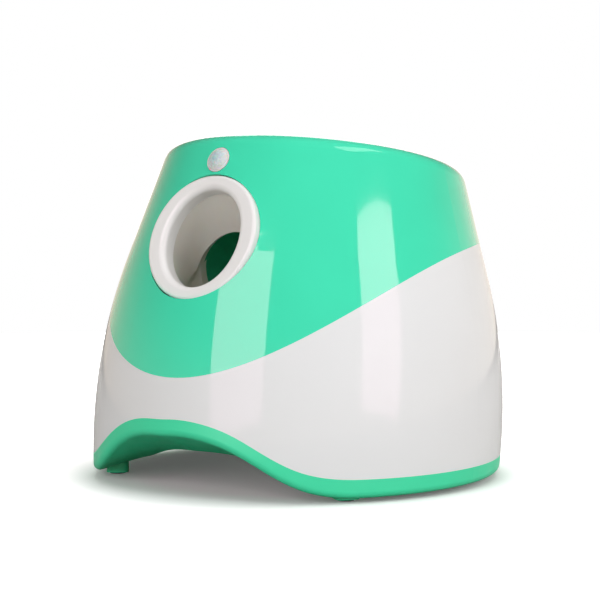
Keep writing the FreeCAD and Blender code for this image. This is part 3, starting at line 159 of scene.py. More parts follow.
def moulded(name, base, roughness, grain, depth, spread=0.04, ior=1.53, coat=0.0, milky=0.0):
    """A moulded plastic: slow colour drift, rubbed roughness and one scale of surface grain.

    grain is the distance between grains in metres, and depth is how deep they go.
    """
    made, tree = material(name)
    place = add(tree, "ShaderNodeTexCoord").outputs["Object"]
    drift = add(tree, "ShaderNodeTexNoise", {"noise_dimensions": "3D"},
                {"Vector": place, "Scale": 1 / (60 * MM), "Detail": 2.0})
    shade = add(tree, "ShaderNodeMapRange", None,
                {"Value": drift.outputs["Fac"], "From Min": 0.3, "From Max": 0.7,
                 "To Min": 1 - spread, "To Max": 1 + spread / 2})
    tint = add(tree, "ShaderNodeMix", {"data_type": "RGBA", "blend_type": "MULTIPLY"},
               {"Factor": 1.0, 6: base, 7: shade.outputs["Result"]})
    rub = add(tree, "ShaderNodeTexNoise", None,
              {"Vector": place, "Scale": 1 / (18 * MM), "Detail": 5.0, "Roughness": 0.6})
    rough = add(tree, "ShaderNodeMapRange", None,
                {"Value": rub.outputs["Fac"], "From Min": 0.35, "From Max": 0.65,
                 "To Min": roughness * 0.85, "To Max": roughness * 1.2})
    grains = add(tree, "ShaderNodeTexNoise", None,
                 {"Vector": place, "Scale": 1 / grain, "Detail": 2.0})
    bump = add(tree, "ShaderNodeBump", None,
               {"Strength": 1.0, "Distance": depth, "Height": grains.outputs["Fac"]})
    shader = add(tree, "ShaderNodeBsdfPrincipled", None,
                 {"Base Color": tint.outputs[2], "Roughness": rough.outputs["Result"],
                  "Normal": bump.outputs["Normal"], "IOR": ior, "Coat Weight": coat,
                  "Subsurface Weight": milky, "Subsurface Scale": 2 * MM})
    add(tree, "ShaderNodeOutputMaterial", None, {"Surface": shader.outputs["BSDF"]})
    return made


def metal(name, base, roughness, stretch=(1.0, 1.0, 1.0), scale=0.4 * MM, depth=0.004 * MM):
    """Bare or plated metal, with fine marks of its making drawn out along one axis."""
    made, tree = material(name)
    place = add(tree, "ShaderNodeTexCoord").outputs["Object"]
    drawn = add(tree, "ShaderNodeMapping", None, {"Vector": place, "Scale": stretch})
    marks = add(tree, "ShaderNodeTexNoise", None,
                {"Vector": drawn.outputs["Vector"], "Scale": 1 / scale, "Detail": 4.0})
    rough = add(tree, "ShaderNodeMapRange", None,
                {"Value": marks.outputs["Fac"], "From Min": 0.3, "From Max": 0.7,
                 "To Min": roughness * 0.8, "To Max": roughness * 1.3})
    bump = add(tree, "ShaderNodeBump", None,
               {"Distance": depth, "Height": marks.outputs["Fac"]})
    shader = add(tree, "ShaderNodeBsdfPrincipled", None,
                 {"Base Color": base, "Metallic": 1.0, "Roughness": rough.outputs["Result"],
                  "Normal": bump.outputs["Normal"]})
    add(tree, "ShaderNodeOutputMaterial", None, {"Surface": shader.outputs["BSDF"]})
    return made


def dress(finish, *nodes):
    """Gives CAD nodes a finish."""
    for name in nodes:
        slots = NODES[name].data.materials
        slots.clear()
        slots.append(finish)


def leaning(origin, lean):
    """A frame at a point in millimetres whose +Z leans by degrees from up towards the front."""
    return Matrix.Translation(Vector(origin) * MM) @ Matrix.Rotation(math.radians(lean), 4, "X")


LENS_FRAME = leaning(LENS_SEAT, LENS_LEAN)
LAUNCH_FRAME = leaning(LAUNCH_SEAT, LAUNCH_LEAN)
FEET = [(FOOT_RING * math.sin(math.radians(a)), -FOOT_RING * math.cos(math.radians(a)), 0.0)
        for a in FOOT_ANGLES]


def smoothed(shape, gap):
    """Merges what lies closer than gap, turns the faces outwards and keeps the sharp edges."""
    bmesh.ops.remove_doubles(shape, verts=shape.verts, dist=gap)
    bmesh.ops.recalc_face_normals(shape, faces=shape.faces)
    for face in shape.faces:
        face.smooth = True
    for edge in shape.edges:
        edge.smooth = len(edge.link_faces) == 2 and edge.calc_face_angle() < SHARP


def settle(name, shape, finishes, body, seat=Matrix()):
    """Makes a bmesh in millimetres into a piece that rides on a body."""
    smoothed(shape, 1e-4)
    mesh = bpy.data.meshes.new(name)
    shape.to_mesh(mesh)
    shape.free()
    mesh.transform(seat @ Matrix.Scale(MM, 4))
    for finish in finishes:
        mesh.materials.append(finish)
    piece = bpy.data.objects.new(name, mesh)
    bpy.context.scene.collection.objects.link(piece)
    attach(piece, body)
    return piece


def turned(shape, profile, steps, seat=Matrix(), finish=0, rise=lambda radius, angle: 0.0):
    """Adds a profile of (radius, height) turned about the seat's +Z; rise lifts each point."""
    rings = []
    for radius, height in profile:
        ring = []
        for step in range(steps if radius > 1e-6 else 1):
            angle = 2 * math.pi * step / steps
            spot = Vector((radius * math.cos(angle), radius * math.sin(angle), height + rise(radius, angle)))
            ring.append(shape.verts.new(seat @ spot))
        rings.append(ring)
    for low, high in zip(rings, rings[1:]):
        for step in range(steps):
            after = (step + 1) % steps
            corners = [low[step % len(low)], low[after % len(low)],
                       high[after % len(high)], high[step % len(high)]]
            corners = [v for i, v in enumerate(corners) if v not in corners[:i]]
            if len(corners) > 2:
                shape.faces.new(corners).material_index = finish


def brick(shape, low, high, soften=0.0, finish=0):
    """Adds a box between two corners, with its edges softened."""
    size = [b - a for a, b in zip(low, high)]
    middle = [(a + b) / 2 for a, b in zip(low, high)]
    fit = Matrix.Translation(middle) @ Matrix.Diagonal(size + [1.0])
    made = bmesh.ops.create_cube(shape, size=1.0, matrix=fit)["verts"]
    if soften:
        edges = list({edge for vert in made for edge in vert.link_edges})
        eased = bmesh.ops.bevel(shape, geom=edges, offset=soften, segments=2, affect="EDGES")["faces"]
        made = list({vert for face in eased for vert in face.verts})
    for vert in made:
        for face in vert.link_faces:
            face.material_index = finish


def ground(name, sizes):
    """A Geometry Nodes tree with named inputs, and the sockets of its input node."""
    tree = bpy.data.node_groups.new(name, "GeometryNodeTree")
    tree.interface.new_socket("Seats", in_out="INPUT", socket_type="NodeSocketGeometry")
    for label, (kind, value) in sizes.items():
        socket = tree.interface.new_socket(label, in_out="INPUT", socket_type=kind)
        if value is not None:
            socket.default_value = value
    tree.interface.new_socket("Finish", in_out="INPUT", socket_type="NodeSocketMaterial")
    tree.interface.new_socket("Geometry", in_out="OUTPUT", socket_type="NodeSocketGeometry")
    return tree, add(tree, "NodeGroupInput").outputs


def seated(tree, given, shape, coat=True):
    """Ends a tree: its shape on every seat, made real, with its finish unless its parts have theirs."""
    spread = add(tree, "GeometryNodeInstanceOnPoints", None,
                 {"Points": given["Seats"], "Instance": shape, "Rotation": given["Facing"]})
    real = add(tree, "GeometryNodeRealizeInstances", None, {"Geometry": spread.outputs["Instances"]})
    ended = real.outputs["Geometry"]
    if coat:
        ended = add(tree, "GeometryNodeSetMaterial", None,
                    {"Geometry": ended, "Material": given["Finish"]}).outputs["Geometry"]
    add(tree, "NodeGroupOutput", None, {"Geometry": ended})
    return tree


def placed(tree, geometry, shift=(0.0, 0.0, 0.0), size=(1.0, 1.0, 1.0)):
    """Stretches geometry by size and then moves it by shift; their numbers may be sockets."""
    move, stretch = (add(tree, "ShaderNodeCombineXYZ", None, dict(zip("XYZ", three))).outputs["Vector"]
                     for three in (shift, size))
    return add(tree, "GeometryNodeTransform", None,
               {"Geometry": geometry, "Translation": move, "Scale": stretch}).outputs["Geometry"]


def grown(name, tree, seats, values, body, seat=Matrix()):
    """Runs a tree on seats in millimetres and keeps the result as one plain mesh."""
    mesh = bpy.data.meshes.new(name)
    mesh.from_pydata([Vector(spot) * MM for spot in seats], [], [])
    piece = bpy.data.objects.new(name, mesh)
    bpy.context.scene.collection.objects.link(piece)
    modifier = piece.modifiers.new("grown", "NODES")
    modifier.node_group = tree
    for item in tree.interface.items_tree:
        if item.item_type == "SOCKET" and item.in_out == "INPUT" and item.name in values:
            modifier[item.identifier] = values[item.name]
    graph = bpy.context.evaluated_depsgraph_get()
    plain = bpy.data.meshes.new_from_object(piece.evaluated_get(graph), depsgraph=graph)
    piece.modifiers.clear()
    piece.data = plain
    shape = bmesh.new()
    shape.from_mesh(plain)
    smoothed(shape, 1e-7)
    shape.to_mesh(plain)
    shape.free()
    plain.transform(seat)
    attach(piece, body)
    return piece


def metres(value):
    """The kind and the default of a tree's input that takes a length."""
    return "NodeSocketFloat", value * MM


def screw_tree():
    """A screw with a thread; its head, a dome with a cross recess, faces +Z on the seat."""
    tree, given = ground("cross screw", {
        "Head": metres(3.2), "Rise": metres(2.0), "Shank": metres(1.35), "Length": metres(30.0),
        "Pitch": metres(1.1), "Facing": ("NodeSocketRotation", None)})
    # The ball and its cutters are made at size one and stretched. A known fault: the cut at full size
    # loses the dome and leaves a scrap of one bar; a cut before the stretch would keep it.
    full = (given["Head"], given["Head"], given["Rise"])
    ball = add(tree, "GeometryNodeMeshUVSphere", None, {"Segments": 32, "Rings": 20, "Radius": 1.0})
    head = add(tree, "GeometryNodeMeshBoolean", {"operation": "DIFFERENCE"},
               {"Mesh 1": placed(tree, ball.outputs["Mesh"], size=full)})
    for size, height in (((3.0, 3.0, 3.0), -1.5), ((1.15, 0.24, 1.0), 0.95), ((0.24, 1.15, 1.0), 0.95)):
        block = add(tree, "GeometryNodeMeshCube", None, {"Size": size})
        stood = placed(tree, block.outputs["Mesh"], (0.0, 0.0, height))
        tree.links.new(placed(tree, stood, size=full), head.inputs["Mesh 2"])
    rod = add(tree, "GeometryNodeMeshCylinder", None, {"Vertices": 20, "Radius": 1.0, "Depth": 1.0})
    hung = placed(tree, rod.outputs["Mesh"], (0.0, 0.0, -0.5))
    shank = placed(tree, hung, size=(given["Shank"], given["Shank"], given["Length"]))
    # The thread is wound at full size, so that its ridge stays round.
    turns, ridge, tall, foot = (
        add(tree, "ShaderNodeMath", {"operation": kind}, {0: given[size], 1: by}).outputs["Value"]
        for kind, size, by in (("DIVIDE", "Length", given["Pitch"]), ("MULTIPLY", "Pitch", 0.22),
                               ("MULTIPLY", "Length", 0.96), ("MULTIPLY", "Length", -0.98)))
    spiral = add(tree, "GeometryNodeCurveSpiral", None,
                 {"Resolution": 14, "Rotations": turns, "Start Radius": given["Shank"],
                  "End Radius": given["Shank"], "Height": tall})
    wire = add(tree, "GeometryNodeCurvePrimitiveCircle", None, {"Resolution": 4, "Radius": ridge})
    wound = add(tree, "GeometryNodeCurveToMesh", None,
                {"Curve": spiral.outputs["Curve"], "Profile Curve": wire.outputs["Curve"], "Fill Caps": True})
    thread = placed(tree, wound.outputs["Mesh"], (0.0, 0.0, foot))
    whole = add(tree, "GeometryNodeJoinGeometry")
    for part in (head.outputs["Mesh"], shank, thread):
        tree.links.new(part, whole.inputs["Geometry"])
    return seated(tree, given, whole.outputs["Geometry"])


def coil_tree():
    """A coil of round wire that rises along +Z from the seat."""
    tree, given = ground("wire coil", {
        "Start": metres(5.1), "End": metres(5.1), "Wire": metres(0.6), "Length": metres(72.0),
        "Turns": ("NodeSocketFloat", 9.0), "Facing": ("NodeSocketRotation", None)})
    path = add(tree, "GeometryNodeCurveSpiral", None,
               {"Resolution": 40, "Rotations": given["Turns"], "Start Radius": given["Start"],
                "End Radius": given["End"], "Height": given["Length"]})
    wire = add(tree, "GeometryNodeCurvePrimitiveCircle", None, {"Resolution": 12, "Radius": given["Wire"]})
    coil = add(tree, "GeometryNodeCurveToMesh", None,
               {"Curve": path.outputs["Curve"], "Profile Curve": wire.outputs["Curve"], "Fill Caps": True})
    return seated(tree, given, coil.outputs["Mesh"])


def pad_tree():
    """A rubber pad with round grip rings on its underside; the seat is the floor."""
    tree, given = ground("ringed pad", {
        "Radius": metres(6.0), "Height": metres(2.2), "Ring": metres(0.4),
        "Facing": ("NodeSocketRotation", None)})
    tall = add(tree, "ShaderNodeMath", {"operation": "SUBTRACT"}, {0: given["Height"], 1: given["Ring"]})
    puck = add(tree, "GeometryNodeMeshCylinder", None, {"Vertices": 48, "Radius": 1.0, "Depth": 1.0})
    stood = placed(tree, puck.outputs["Mesh"], (0.0, 0.0, 0.5))
    raised = placed(tree, stood, (0.0, 0.0, given["Ring"]),
                    (given["Radius"], given["Radius"], tall.outputs["Value"]))
    whole = add(tree, "GeometryNodeJoinGeometry")
    tree.links.new(raised, whole.inputs["Geometry"])
    bead = add(tree, "GeometryNodeCurvePrimitiveCircle", None, {"Resolution": 8, "Radius": given["Ring"]})
    for share in (0.3, 0.6, 0.9):
        reach = add(tree, "ShaderNodeMath", {"operation": "MULTIPLY"}, {0: given["Radius"], 1: share})
        hoop = add(tree, "GeometryNodeCurvePrimitiveCircle", None,
                   {"Resolution": 40, "Radius": reach.outputs["Value"]})
        ring = add(tree, "GeometryNodeCurveToMesh", None,
                   {"Curve": hoop.outputs["Curve"], "Profile Curve": bead.outputs["Curve"]})
        sunk = placed(tree, ring.outputs["Mesh"], (0.0, 0.0, given["Ring"]))
        tree.links.new(sunk, whole.inputs["Geometry"])
    return seated(tree, given, whole.outputs["Geometry"])


def chip_tree():
    """A surface-mounted chip with tinned ends, standing on the board; its length runs along +Y."""
    tree, given = ground("surface chip", {
        "Long": metres(2.0), "Wide": metres(1.25), "High": metres(0.6),
        "Facing": ("NodeSocketRotation", None), "Tin": ("NodeSocketMaterial", None)})
    whole = add(tree, "GeometryNodeJoinGeometry")
    for size, along, finish in (((1.0, 0.7, 1.0), 0.0, "Finish"), ((1.04, 0.2, 1.06), -0.4, "Tin"),
                                ((1.04, 0.2, 1.06), 0.4, "Tin")):
        block = add(tree, "GeometryNodeMeshCube", None, {"Size": size})
        stood = placed(tree, block.outputs["Mesh"], (0.0, along, size[2] / 2))
        coated = add(tree, "GeometryNodeSetMaterial", None, {"Geometry": stood, "Material": given[finish]})
        tree.links.new(coated.outputs["Geometry"], whole.inputs["Geometry"])
    full = placed(tree, whole.outputs["Geometry"], size=(given["Wide"], given["Long"], given["High"]))
    return seated(tree, given, full, coat=False)


def laid(name, outlines, node, finish, body):
    """Lays outlines of (x, z) in millimetres on the rear of a CAD node, as thin raised marks."""
    mesh = NODES[node].data
    surface = BVHTree.FromPolygons([v.co for v in mesh.vertices], [p.vertices for p in mesh.polygons])
    shape = bmesh.new()
    for outline in outlines:
        seats = []
        for x, z in outline:
            hit = surface.ray_cast(Vector((x, REAR_Y, z)) * MM, FORWARD)[0]
            if hit is None:
                raise RuntimeError(f"{name}: nothing of {node} lies under a mark")
            seats.append(hit / MM)
        top = [shape.verts.new(seat - FORWARD * MARK_RISE) for seat in seats]
        low = [shape.verts.new(seat + FORWARD * MARK_SINK) for seat in seats]
        shape.faces.new(top)
        shape.faces.new(low[::-1])
        for i in range(len(top)):
            shape.faces.new([top[i - 1], low[i - 1], low[i], top[i]])
    return settle(name, shape, [finish], body)


def ring_outline(x, y, inner, outer, first=0.0, last=360.0, steps=40):
    """Quads of a flat ring or arc."""
    quads = []
    for step in range(steps):
        a, b = (math.radians(first + (last - first) * (step + k) / steps) for k in (0, 1))
        quads.append([(x + r * math.cos(t), y + r * math.sin(t))
                      for r, t in ((inner, a), (outer, a), (outer, b), (inner, b))])
    return quads


def bar_outline(x, y, wide, high):
    """The quad of a flat bar."""
    return [[(x - wide / 2, y - high / 2), (x + wide / 2, y - high / 2),
             (x + wide / 2, y + high / 2), (x - wide / 2, y + high / 2)]]


class LAUNCHER_OT_shells(bpy.types.Operator):
    """Gives the outer mouldings their gloss"""
    bl_idname = "launcher.shells"
    bl_label = "Shells"

    def execute(self, context):
        tones = context.scene.launcher_colours
        sizes = context.scene.launcher_sizes
        # Gloss ABS from a polished mould: a clear highlight, with slow waves that bend it a little.
        dress(moulded("green gloss ABS", tones.shell, 0.06, sizes.peel, 0.010 * MM, 0.03, coat=0.8),
              "upper_shell", "hopper_bowl", "distance_button")
        # The same green from a blasted mould: the tray and its door shine softly, with no clear image.
        dress(moulded("green satin ABS", tones.tray, 0.36, sizes.grain, 0.006 * MM, 0.03),
              "base_tray", "battery_door")
        # White gloss ABS: a weaker reflection than the green has, so that the two strips stay faint.
        dress(moulded("white gloss ABS", tones.band, 0.08, sizes.peel, 0.008 * MM, 0.012, ior=1.36),
              "lower_shell")
        # Satin ABS: the mould was vapour blasted, so the highlight is broad and soft.
        dress(moulded("satin white ABS", tones.bezel, 0.34, sizes.grain, 0.004 * MM, 0.015),
              "muzzle_bezel")
        return {"FINISHED"}


class LAUNCHER_OT_ducts(bpy.types.Operator):
    """Finishes the pocket, the chute and the striker's guide"""
    bl_idname = "launcher.ducts"
    bl_label = "Ball ducts"

    def execute(self, context):
        tones = context.scene.launcher_colours
        sizes = context.scene.launcher_sizes
        # Polypropylene, slightly waxy: soft sheen and a little light carried inside the wall. The pocket's
        # white is painted greyer, as painted shade inside it.
        dress(moulded("satin polypropylene with painted shade", tones.duct_with_painted_shade, 0.40, sizes.grain, 0.010 * MM, 0.03,
                      ior=1.49, milky=0.15), "launch_pocket")
        # The chute is painted darker than the shell's green, as painted shade inside its hole.
        dress(moulded("green polypropylene with painted shade", tones.chute, 0.38, sizes.grain, 0.010 * MM, 0.04,
                      ior=1.49, milky=0.10), "chute_left", "chute_right")
        # Spark-eroded ABS: an even, fairly coarse grain that leaves it nearly matt.
        dress(moulded("textured grey ABS", tones.frame, 0.55, 0.9 * MM, 0.02 * MM),
              "striker_guide", "rear_cap", "chassis_left", "chassis_right", "gear_cover",
              "switch_bracket", "battery_bay")
        return {"FINISHED"}


def milky_polyethylene(middle, brim):
    """Thin milky polyethylene: the dark sensor behind tints the middle, the thick brim is white."""
    finish, tree = material("milky polyethylene")
    place = add(tree, "ShaderNodeTexCoord").outputs["Object"]
    reach = add(tree, "ShaderNodeVectorMath", {"operation": "DISTANCE"},
                {0: place, 1: LENS_FRAME.to_translation()})
    spread = add(tree, "ShaderNodeMapRange", {"interpolation_type": "SMOOTHSTEP"},
                 {"Value": reach.outputs["Value"], "From Min": 3.0 * MM, "From Max": 8.2 * MM})
    cloud = add(tree, "ShaderNodeTexNoise", None, {"Vector": place, "Scale": 1 / (2.2 * MM), "Detail": 2.0})
    tint = add(tree, "ShaderNodeMix", {"data_type": "RGBA"},
               {"Factor": spread.outputs["Result"], 6: middle, 7: brim})
    patch = add(tree, "ShaderNodeMix", {"data_type": "RGBA", "blend_type": "SOFT_LIGHT"},
                {"Factor": 0.35, 6: tint.outputs[2], 7: cloud.outputs["Color"]})
    shader = add(tree, "ShaderNodeBsdfPrincipled", None,
                 {"Base Color": patch.outputs[2], "Roughness": 0.09, "IOR": 1.51, "Coat Weight": 0.5,
                  "Subsurface Weight": 0.5, "Subsurface Scale": 1.5 * MM})
    add(tree, "ShaderNodeOutputMaterial", None, {"Surface": shader.outputs["BSDF"]})
    return finish


class LAUNCHER_OT_lens(bpy.types.Operator):
    """Builds the movement sensor's domed lens out of its rings of small lenses"""
    bl_idname = "launcher.lens"
    bl_label = "Sensor lens"

    def execute(self, context):
        tones = context.scene.launcher_colours
        sizes = context.scene.launcher_sizes
        radius = sizes.lens_radius / MM
        ball = (radius ** 2 + LENS_RISE ** 2) / (2 * LENS_RISE)

        def dome(reach, depth=0.0):
            """Height of the dome, or of its inside at a depth, at a reach from the axis."""
            return math.sqrt((ball - depth) ** 2 - reach ** 2) - ball + LENS_RISE + LENS_FOOT

        def bulge(reach, angle):
            """Height of one small lens over the dome, with a groove all round it."""
            share = reach / radius
            for low, high, count in FACET_ROWS:
                if share <= high + 1e-6:
                    along = 0.0 if count == 1 else 2 * (angle * count / (2 * math.pi) % 1.0) - 1
                    out = share / high if count == 1 else 2 * (share - low) / (high - low) - 1
                    return sizes.facet / MM * (1 - abs(out) ** 4) * (1 - abs(along) ** 4)
            return 0.0

        shape = bmesh.new()
        rings, steps = 44, 144
        outside = [(radius * i / rings, dome(radius * i / rings)) for i in range(rings + 1)]
        turned(shape, outside, steps, rise=bulge)
        brim = [(radius, LENS_FOOT), (radius + 0.15, 0.42), (radius + 0.35, 0.5), (LENS_BRIM - 0.5, 0.48),
                (LENS_BRIM - 0.2, 0.36), (LENS_BRIM, 0.1), (LENS_BRIM, -LENS_SKIRT), (LENS_BORE, -LENS_SKIRT),
                (LENS_BORE, -0.3)]
        reaches = [LENS_BORE * (1 - i / 8) for i in range(9)]
        turned(shape, brim + [(reach, dome(reach, LENS_WALL)) for reach in reaches], steps)
        finish = milky_polyethylene(tones.lens, tones.brim)
        lens = settle("sensor_lens", shape, [finish], "root", LENS_FRAME)
        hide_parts("pir_lens")
        return {"FINISHED"}


class LAUNCHER_OT_screws(bpy.types.Operator):
    """Builds the screws with their threads"""
    bl_idname = "launcher.screws"
    bl_label = "Screws"

    def execute(self, context):
        # Zinc plated steel: bright and a little cloudy, from the plating bath.
        steel = metal("zinc plated steel", linear("#b4b6b4"), 0.26, scale=0.7 * MM)
        tree = screw_tree()
        base = grown("base_cross_screws", tree, [(x, y, BASE_SCREW_Z) for x, y, _ in FEET],
                     {"Head": 3.2 * MM, "Rise": 2.1 * MM, "Shank": 1.35 * MM, "Length": 31.0 * MM,
                      "Facing": (math.pi, 0.0, 0.0), "Finish": steel}, "root")
        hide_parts("base_screws")
        short = grown("frame_cross_screws", tree, FRAME_SCREWS,
                      {"Head": 3.2 * MM, "Rise": 1.8 * MM, "Shank": 1.3 * MM, "Length": 3.0 * MM,
                       "Facing": (0.0, 0.0, 0.0), "Finish": steel}, "root")
        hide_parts("chassis_screws")
        return {"FINISHED"}


class LAUNCHER_OT_springs(bpy.types.Operator):
    """Winds the main spring along the striker's axis"""
    bl_idname = "launcher.springs"
    bl_label = "Springs"

    def execute(self, context):
        sizes = context.scene.launcher_sizes
        # Drawn spring wire: dark and smooth, with the die's lines along it.
        wire = metal("drawn spring wire", linear("#85888c"), 0.28, (1.0, 1.0, 0.2))
        low, high = SPRING_ENDS
        seat = LAUNCH_FRAME @ Matrix.Translation((0, 0, (low + SPRING_ROOM / 2) * MM))
        spring = grown("wound_spring", coil_tree(), [(0, 0, 0)],
                       {"Start": sizes.coil, "End": sizes.coil, "Wire": sizes.wire / 2, "Turns": 9.0,
                        "Length": (high - low - SPRING_ROOM) * MM, "Facing": (0.0, 0.0, 0.0), "Finish": wire},
                       "root", seat)
        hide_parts("main_spring")
        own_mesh(spring)
        return {"FINISHED"}


class LAUNCHER_OT_feet(bpy.types.Operator):
    """Moulds the rubber pads with their grip rings"""
    bl_idname = "launcher.feet"
    bl_label = "Rubber feet"

    def execute(self, context):
        # Moulded rubber: black, matt and a little dusty, with a fine grain.
        rubber = moulded("moulded black rubber", linear("#1d1d1d"), 0.72, 0.5 * MM, 0.02 * MM, 0.2)
        pads = grown("ringed_pads", pad_tree(), FEET,
                     {"Radius": 6.0 * MM, "Height": 2.2 * MM, "Ring": 0.4 * MM, "Facing": (0.0, 0.0, 0.0),
                      "Finish": rubber}, "root")
        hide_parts("rubber_feet")
        return {"FINISHED"}


class LAUNCHER_OT_controls(bpy.types.Operator):
    """Finishes the rear panel and lays the marks on its switch, button and lamps"""
    bl_idname = "launcher.controls"
    bl_label = "Rear controls"

    def execute(self, context):
        tones = context.scene.launcher_colours
        # Lightly spark-eroded ABS: satin, with a grain that takes the shine off the flat panel.
        dress(moulded("textured panel ABS", tones.panel, 0.45, 0.7 * MM, 0.015 * MM),
              "control_panel")
        # Moulded nylon: smooth but uneven, so its shine breaks up.
        dress(moulded("black nylon", tones.black, 0.34, 0.6 * MM, 0.008 * MM, 0.1),
              "switch_body", "power_rocker", "dc_jack", "ball_switch")
        # Coloured epoxy: a clear skin over a deep red body.
        dress(moulded("red lamp epoxy", linear("#c8402c"), 0.08, 2 * MM, 0.002 * MM, coat=0.6),
              "led_lenses")
        # Pad-printed ink: a thin matt film.
        ink = moulded("white pad-printed ink", linear("#e8e8e6"), 0.5, 0.3 * MM, 0.002 * MM, 0.02)
        dark = moulded("grey pad-printed ink", linear("#3a3f42"), 0.5, 0.3 * MM, 0.002 * MM, 0.02)

        marks = ring_outline(ROCKER_X, PANEL_Z - 5.0, 1.15, 1.6)
        marks += bar_outline(ROCKER_X, PANEL_Z + 5.0, 0.5, 3.0)
        laid("switch_marks", marks, "power_rocker", ink, "rocker")
        ranges = []
        for lamp, x in enumerate(LAMPS_X):
            for bar in range(lamp + 1):
                ranges += bar_outline(x + 1.2 * (bar - lamp / 2), PANEL_Z - 5.4, 0.55, 1.2 + 0.5 * bar)
        for first, last in ((20, 160), (200, 340)):
            ranges += ring_outline(BUTTON_X, PANEL_Z, 8.3, 8.7, first, last, 24)
        laid("panel_marks", ranges, "control_panel", dark, "root")
        low = PANEL_Z - 2.6
        arcs = ring_outline(BUTTON_X, low, 2.2, 2.7, 45, 135, 12)
        arcs += ring_outline(BUTTON_X, low, 3.8, 4.3, 45, 135, 16)
        arcs += ring_outline(BUTTON_X, low, 0.0, 0.8)
        laid("button_marks", arcs, "distance_button", ink, "button")
        return {"FINISHED"}


CASE, EPOXY, NYLON, CAN, TIN = range(5)     # the slots of the finishes on board_components


def off_board(y, z):
    """A frame in millimetres whose +Z stands off the main board's face."""
    return Matrix.Translation((BOARD_FACE, y, z)) @ Matrix.Rotation(math.radians(-90), 4, "Y")


def block(shape, out, across, up, soften, finish):
    """A box by its reach off the board's face, along y, and from the board's middle along z."""
    brick(shape, (BOARD_FACE - out[1], across[0], BOARD_MIDDLE + up[0]),
          (BOARD_FACE - out[0], across[1], BOARD_MIDDLE + up[1]), soften, finish)


def relay(shape):
    """The motor's relay: a closed case on its dark base."""
    block(shape, (0.3, 15), (-56, -38), (-8, 8), 0.7, CASE)
    block(shape, (-0.05, 0.4), (-55.4, -38.6), (-7.4, 7.4), 0.1, EPOXY)


def capacitor(shape):
    """A can in its sleeve, crimped near the foot, with a scored vent in the bare top."""
    seat = off_board(-30, BOARD_MIDDLE + 8)
    sleeve = [(0, 0), (4.6, 0), (4.9, 0.25), (4.9, 1.3), (4.5, 1.8), (4.9, 2.3), (4.95, 12.4),
              (4.7, 12.85), (4.1, 12.9)]
    turned(shape, sleeve, 48, seat, EPOXY)
    turned(shape, [(4.1, 12.9), (4.0, 12.6), (0, 12.6)], 48, seat, CAN)
    for turn in (0, 60, 120):
        scored = seat @ Matrix.Rotation(math.radians(turn), 4, "Z")
        corners = [scored @ Vector((x, y, 12.64))
                   for x, y in ((-3.4, -0.12), (3.4, -0.12), (3.4, 0.12), (-3.4, 0.12))]
        shape.faces.new([shape.verts.new(corner) for corner in corners]).material_index = EPOXY


def sounder(shape):
    """A round buzzer with its sound hole."""
    profile = [(0, 0), (5.8, 0), (6.0, 0.3), (6.0, 6.2), (5.3, 6.95), (1.1, 6.95), (1.0, 6.7),
               (1.0, 4.0), (0, 4.0)]
    turned(shape, profile, 48, off_board(-30, BOARD_MIDDLE - 9), EPOXY)


def plug_header(shape):
    """An open shroud round a row of eight pins."""
    for across, up in (((-18, -17.3), (-12, 12)), ((-13.7, -13), (-12, 12)),
                       ((-17.3, -13.7), (-12, -11.2)), ((-17.3, -13.7), (11.2, 12))):
        block(shape, (0, 7), across, up, 0.1, NYLON)
    block(shape, (0, 1.4), (-17.3, -13.7), (-11.2, 11.2), 0.0, NYLON)
    for pin in range(8):
        z = 2.54 * (pin - 3.5)
        block(shape, (0, 6), (-15.82, -15.18), (z - 0.32, z + 0.32), 0.12, TIN)


def controller(shape):
    """The control chip, with eight legs on each long side."""
    block(shape, (0.3, 1.9), (-55, -45), (-18, -14), 0.15, EPOXY)
    for leg in range(8):
        y = -54.4 + 1.27 * leg
        for z in (-18.9, -14.0):
            block(shape, (0, 0.8), (y - 0.2, y + 0.2), (z, z + 0.9), 0.0, TIN)


def foil_jacket():
    """A cell's printed foil jacket: black, with a copper band at the raised end and bare steel ends."""
    jacket, tree = material("printed foil jacket")
    place = add(tree, "ShaderNodeTexCoord").outputs["Object"]
    split = add(tree, "ShaderNodeSeparateXYZ", None, {"Vector": place})
    along = add(tree, "ShaderNodeMath", {"operation": "WRAP"},
                {0: split.outputs["X"], 1: CELL_LENGTH * MM, 2: 0.0})
    reach = add(tree, "ShaderNodeMapRange", None,
                {"Value": along.outputs["Value"], "From Max": CELL_LENGTH * MM})
    bands = add(tree, "ShaderNodeValToRGB", None, {"Fac": reach.outputs["Result"]})
    bands.color_ramp.interpolation = "CONSTANT"
    stops = ((0.0, "#b9b9b6"), (0.02, "#26282b"), (0.70, "#b9773a"), (0.95, "#b9b9b6"))
    while len(bands.color_ramp.elements) < len(stops):
        bands.color_ramp.elements.new(0.5)
    for stop, (at, code) in zip(bands.color_ramp.elements, stops):
        stop.position = at
        stop.color = linear(code)
    crease = add(tree, "ShaderNodeTexNoise", None, {"Vector": place, "Scale": 1 / (6 * MM), "Detail": 3.0})
    bump = add(tree, "ShaderNodeBump", None, {"Distance": 0.03 * MM, "Height": crease.outputs["Fac"]})
    shader = add(tree, "ShaderNodeBsdfPrincipled", None,
                 {"Base Color": bands.outputs["Color"], "Metallic": 0.9, "Roughness": 0.3,
                  "Normal": bump.outputs["Normal"]})
    add(tree, "ShaderNodeOutputMaterial", None, {"Surface": shader.outputs["BSDF"]})
    return jacket


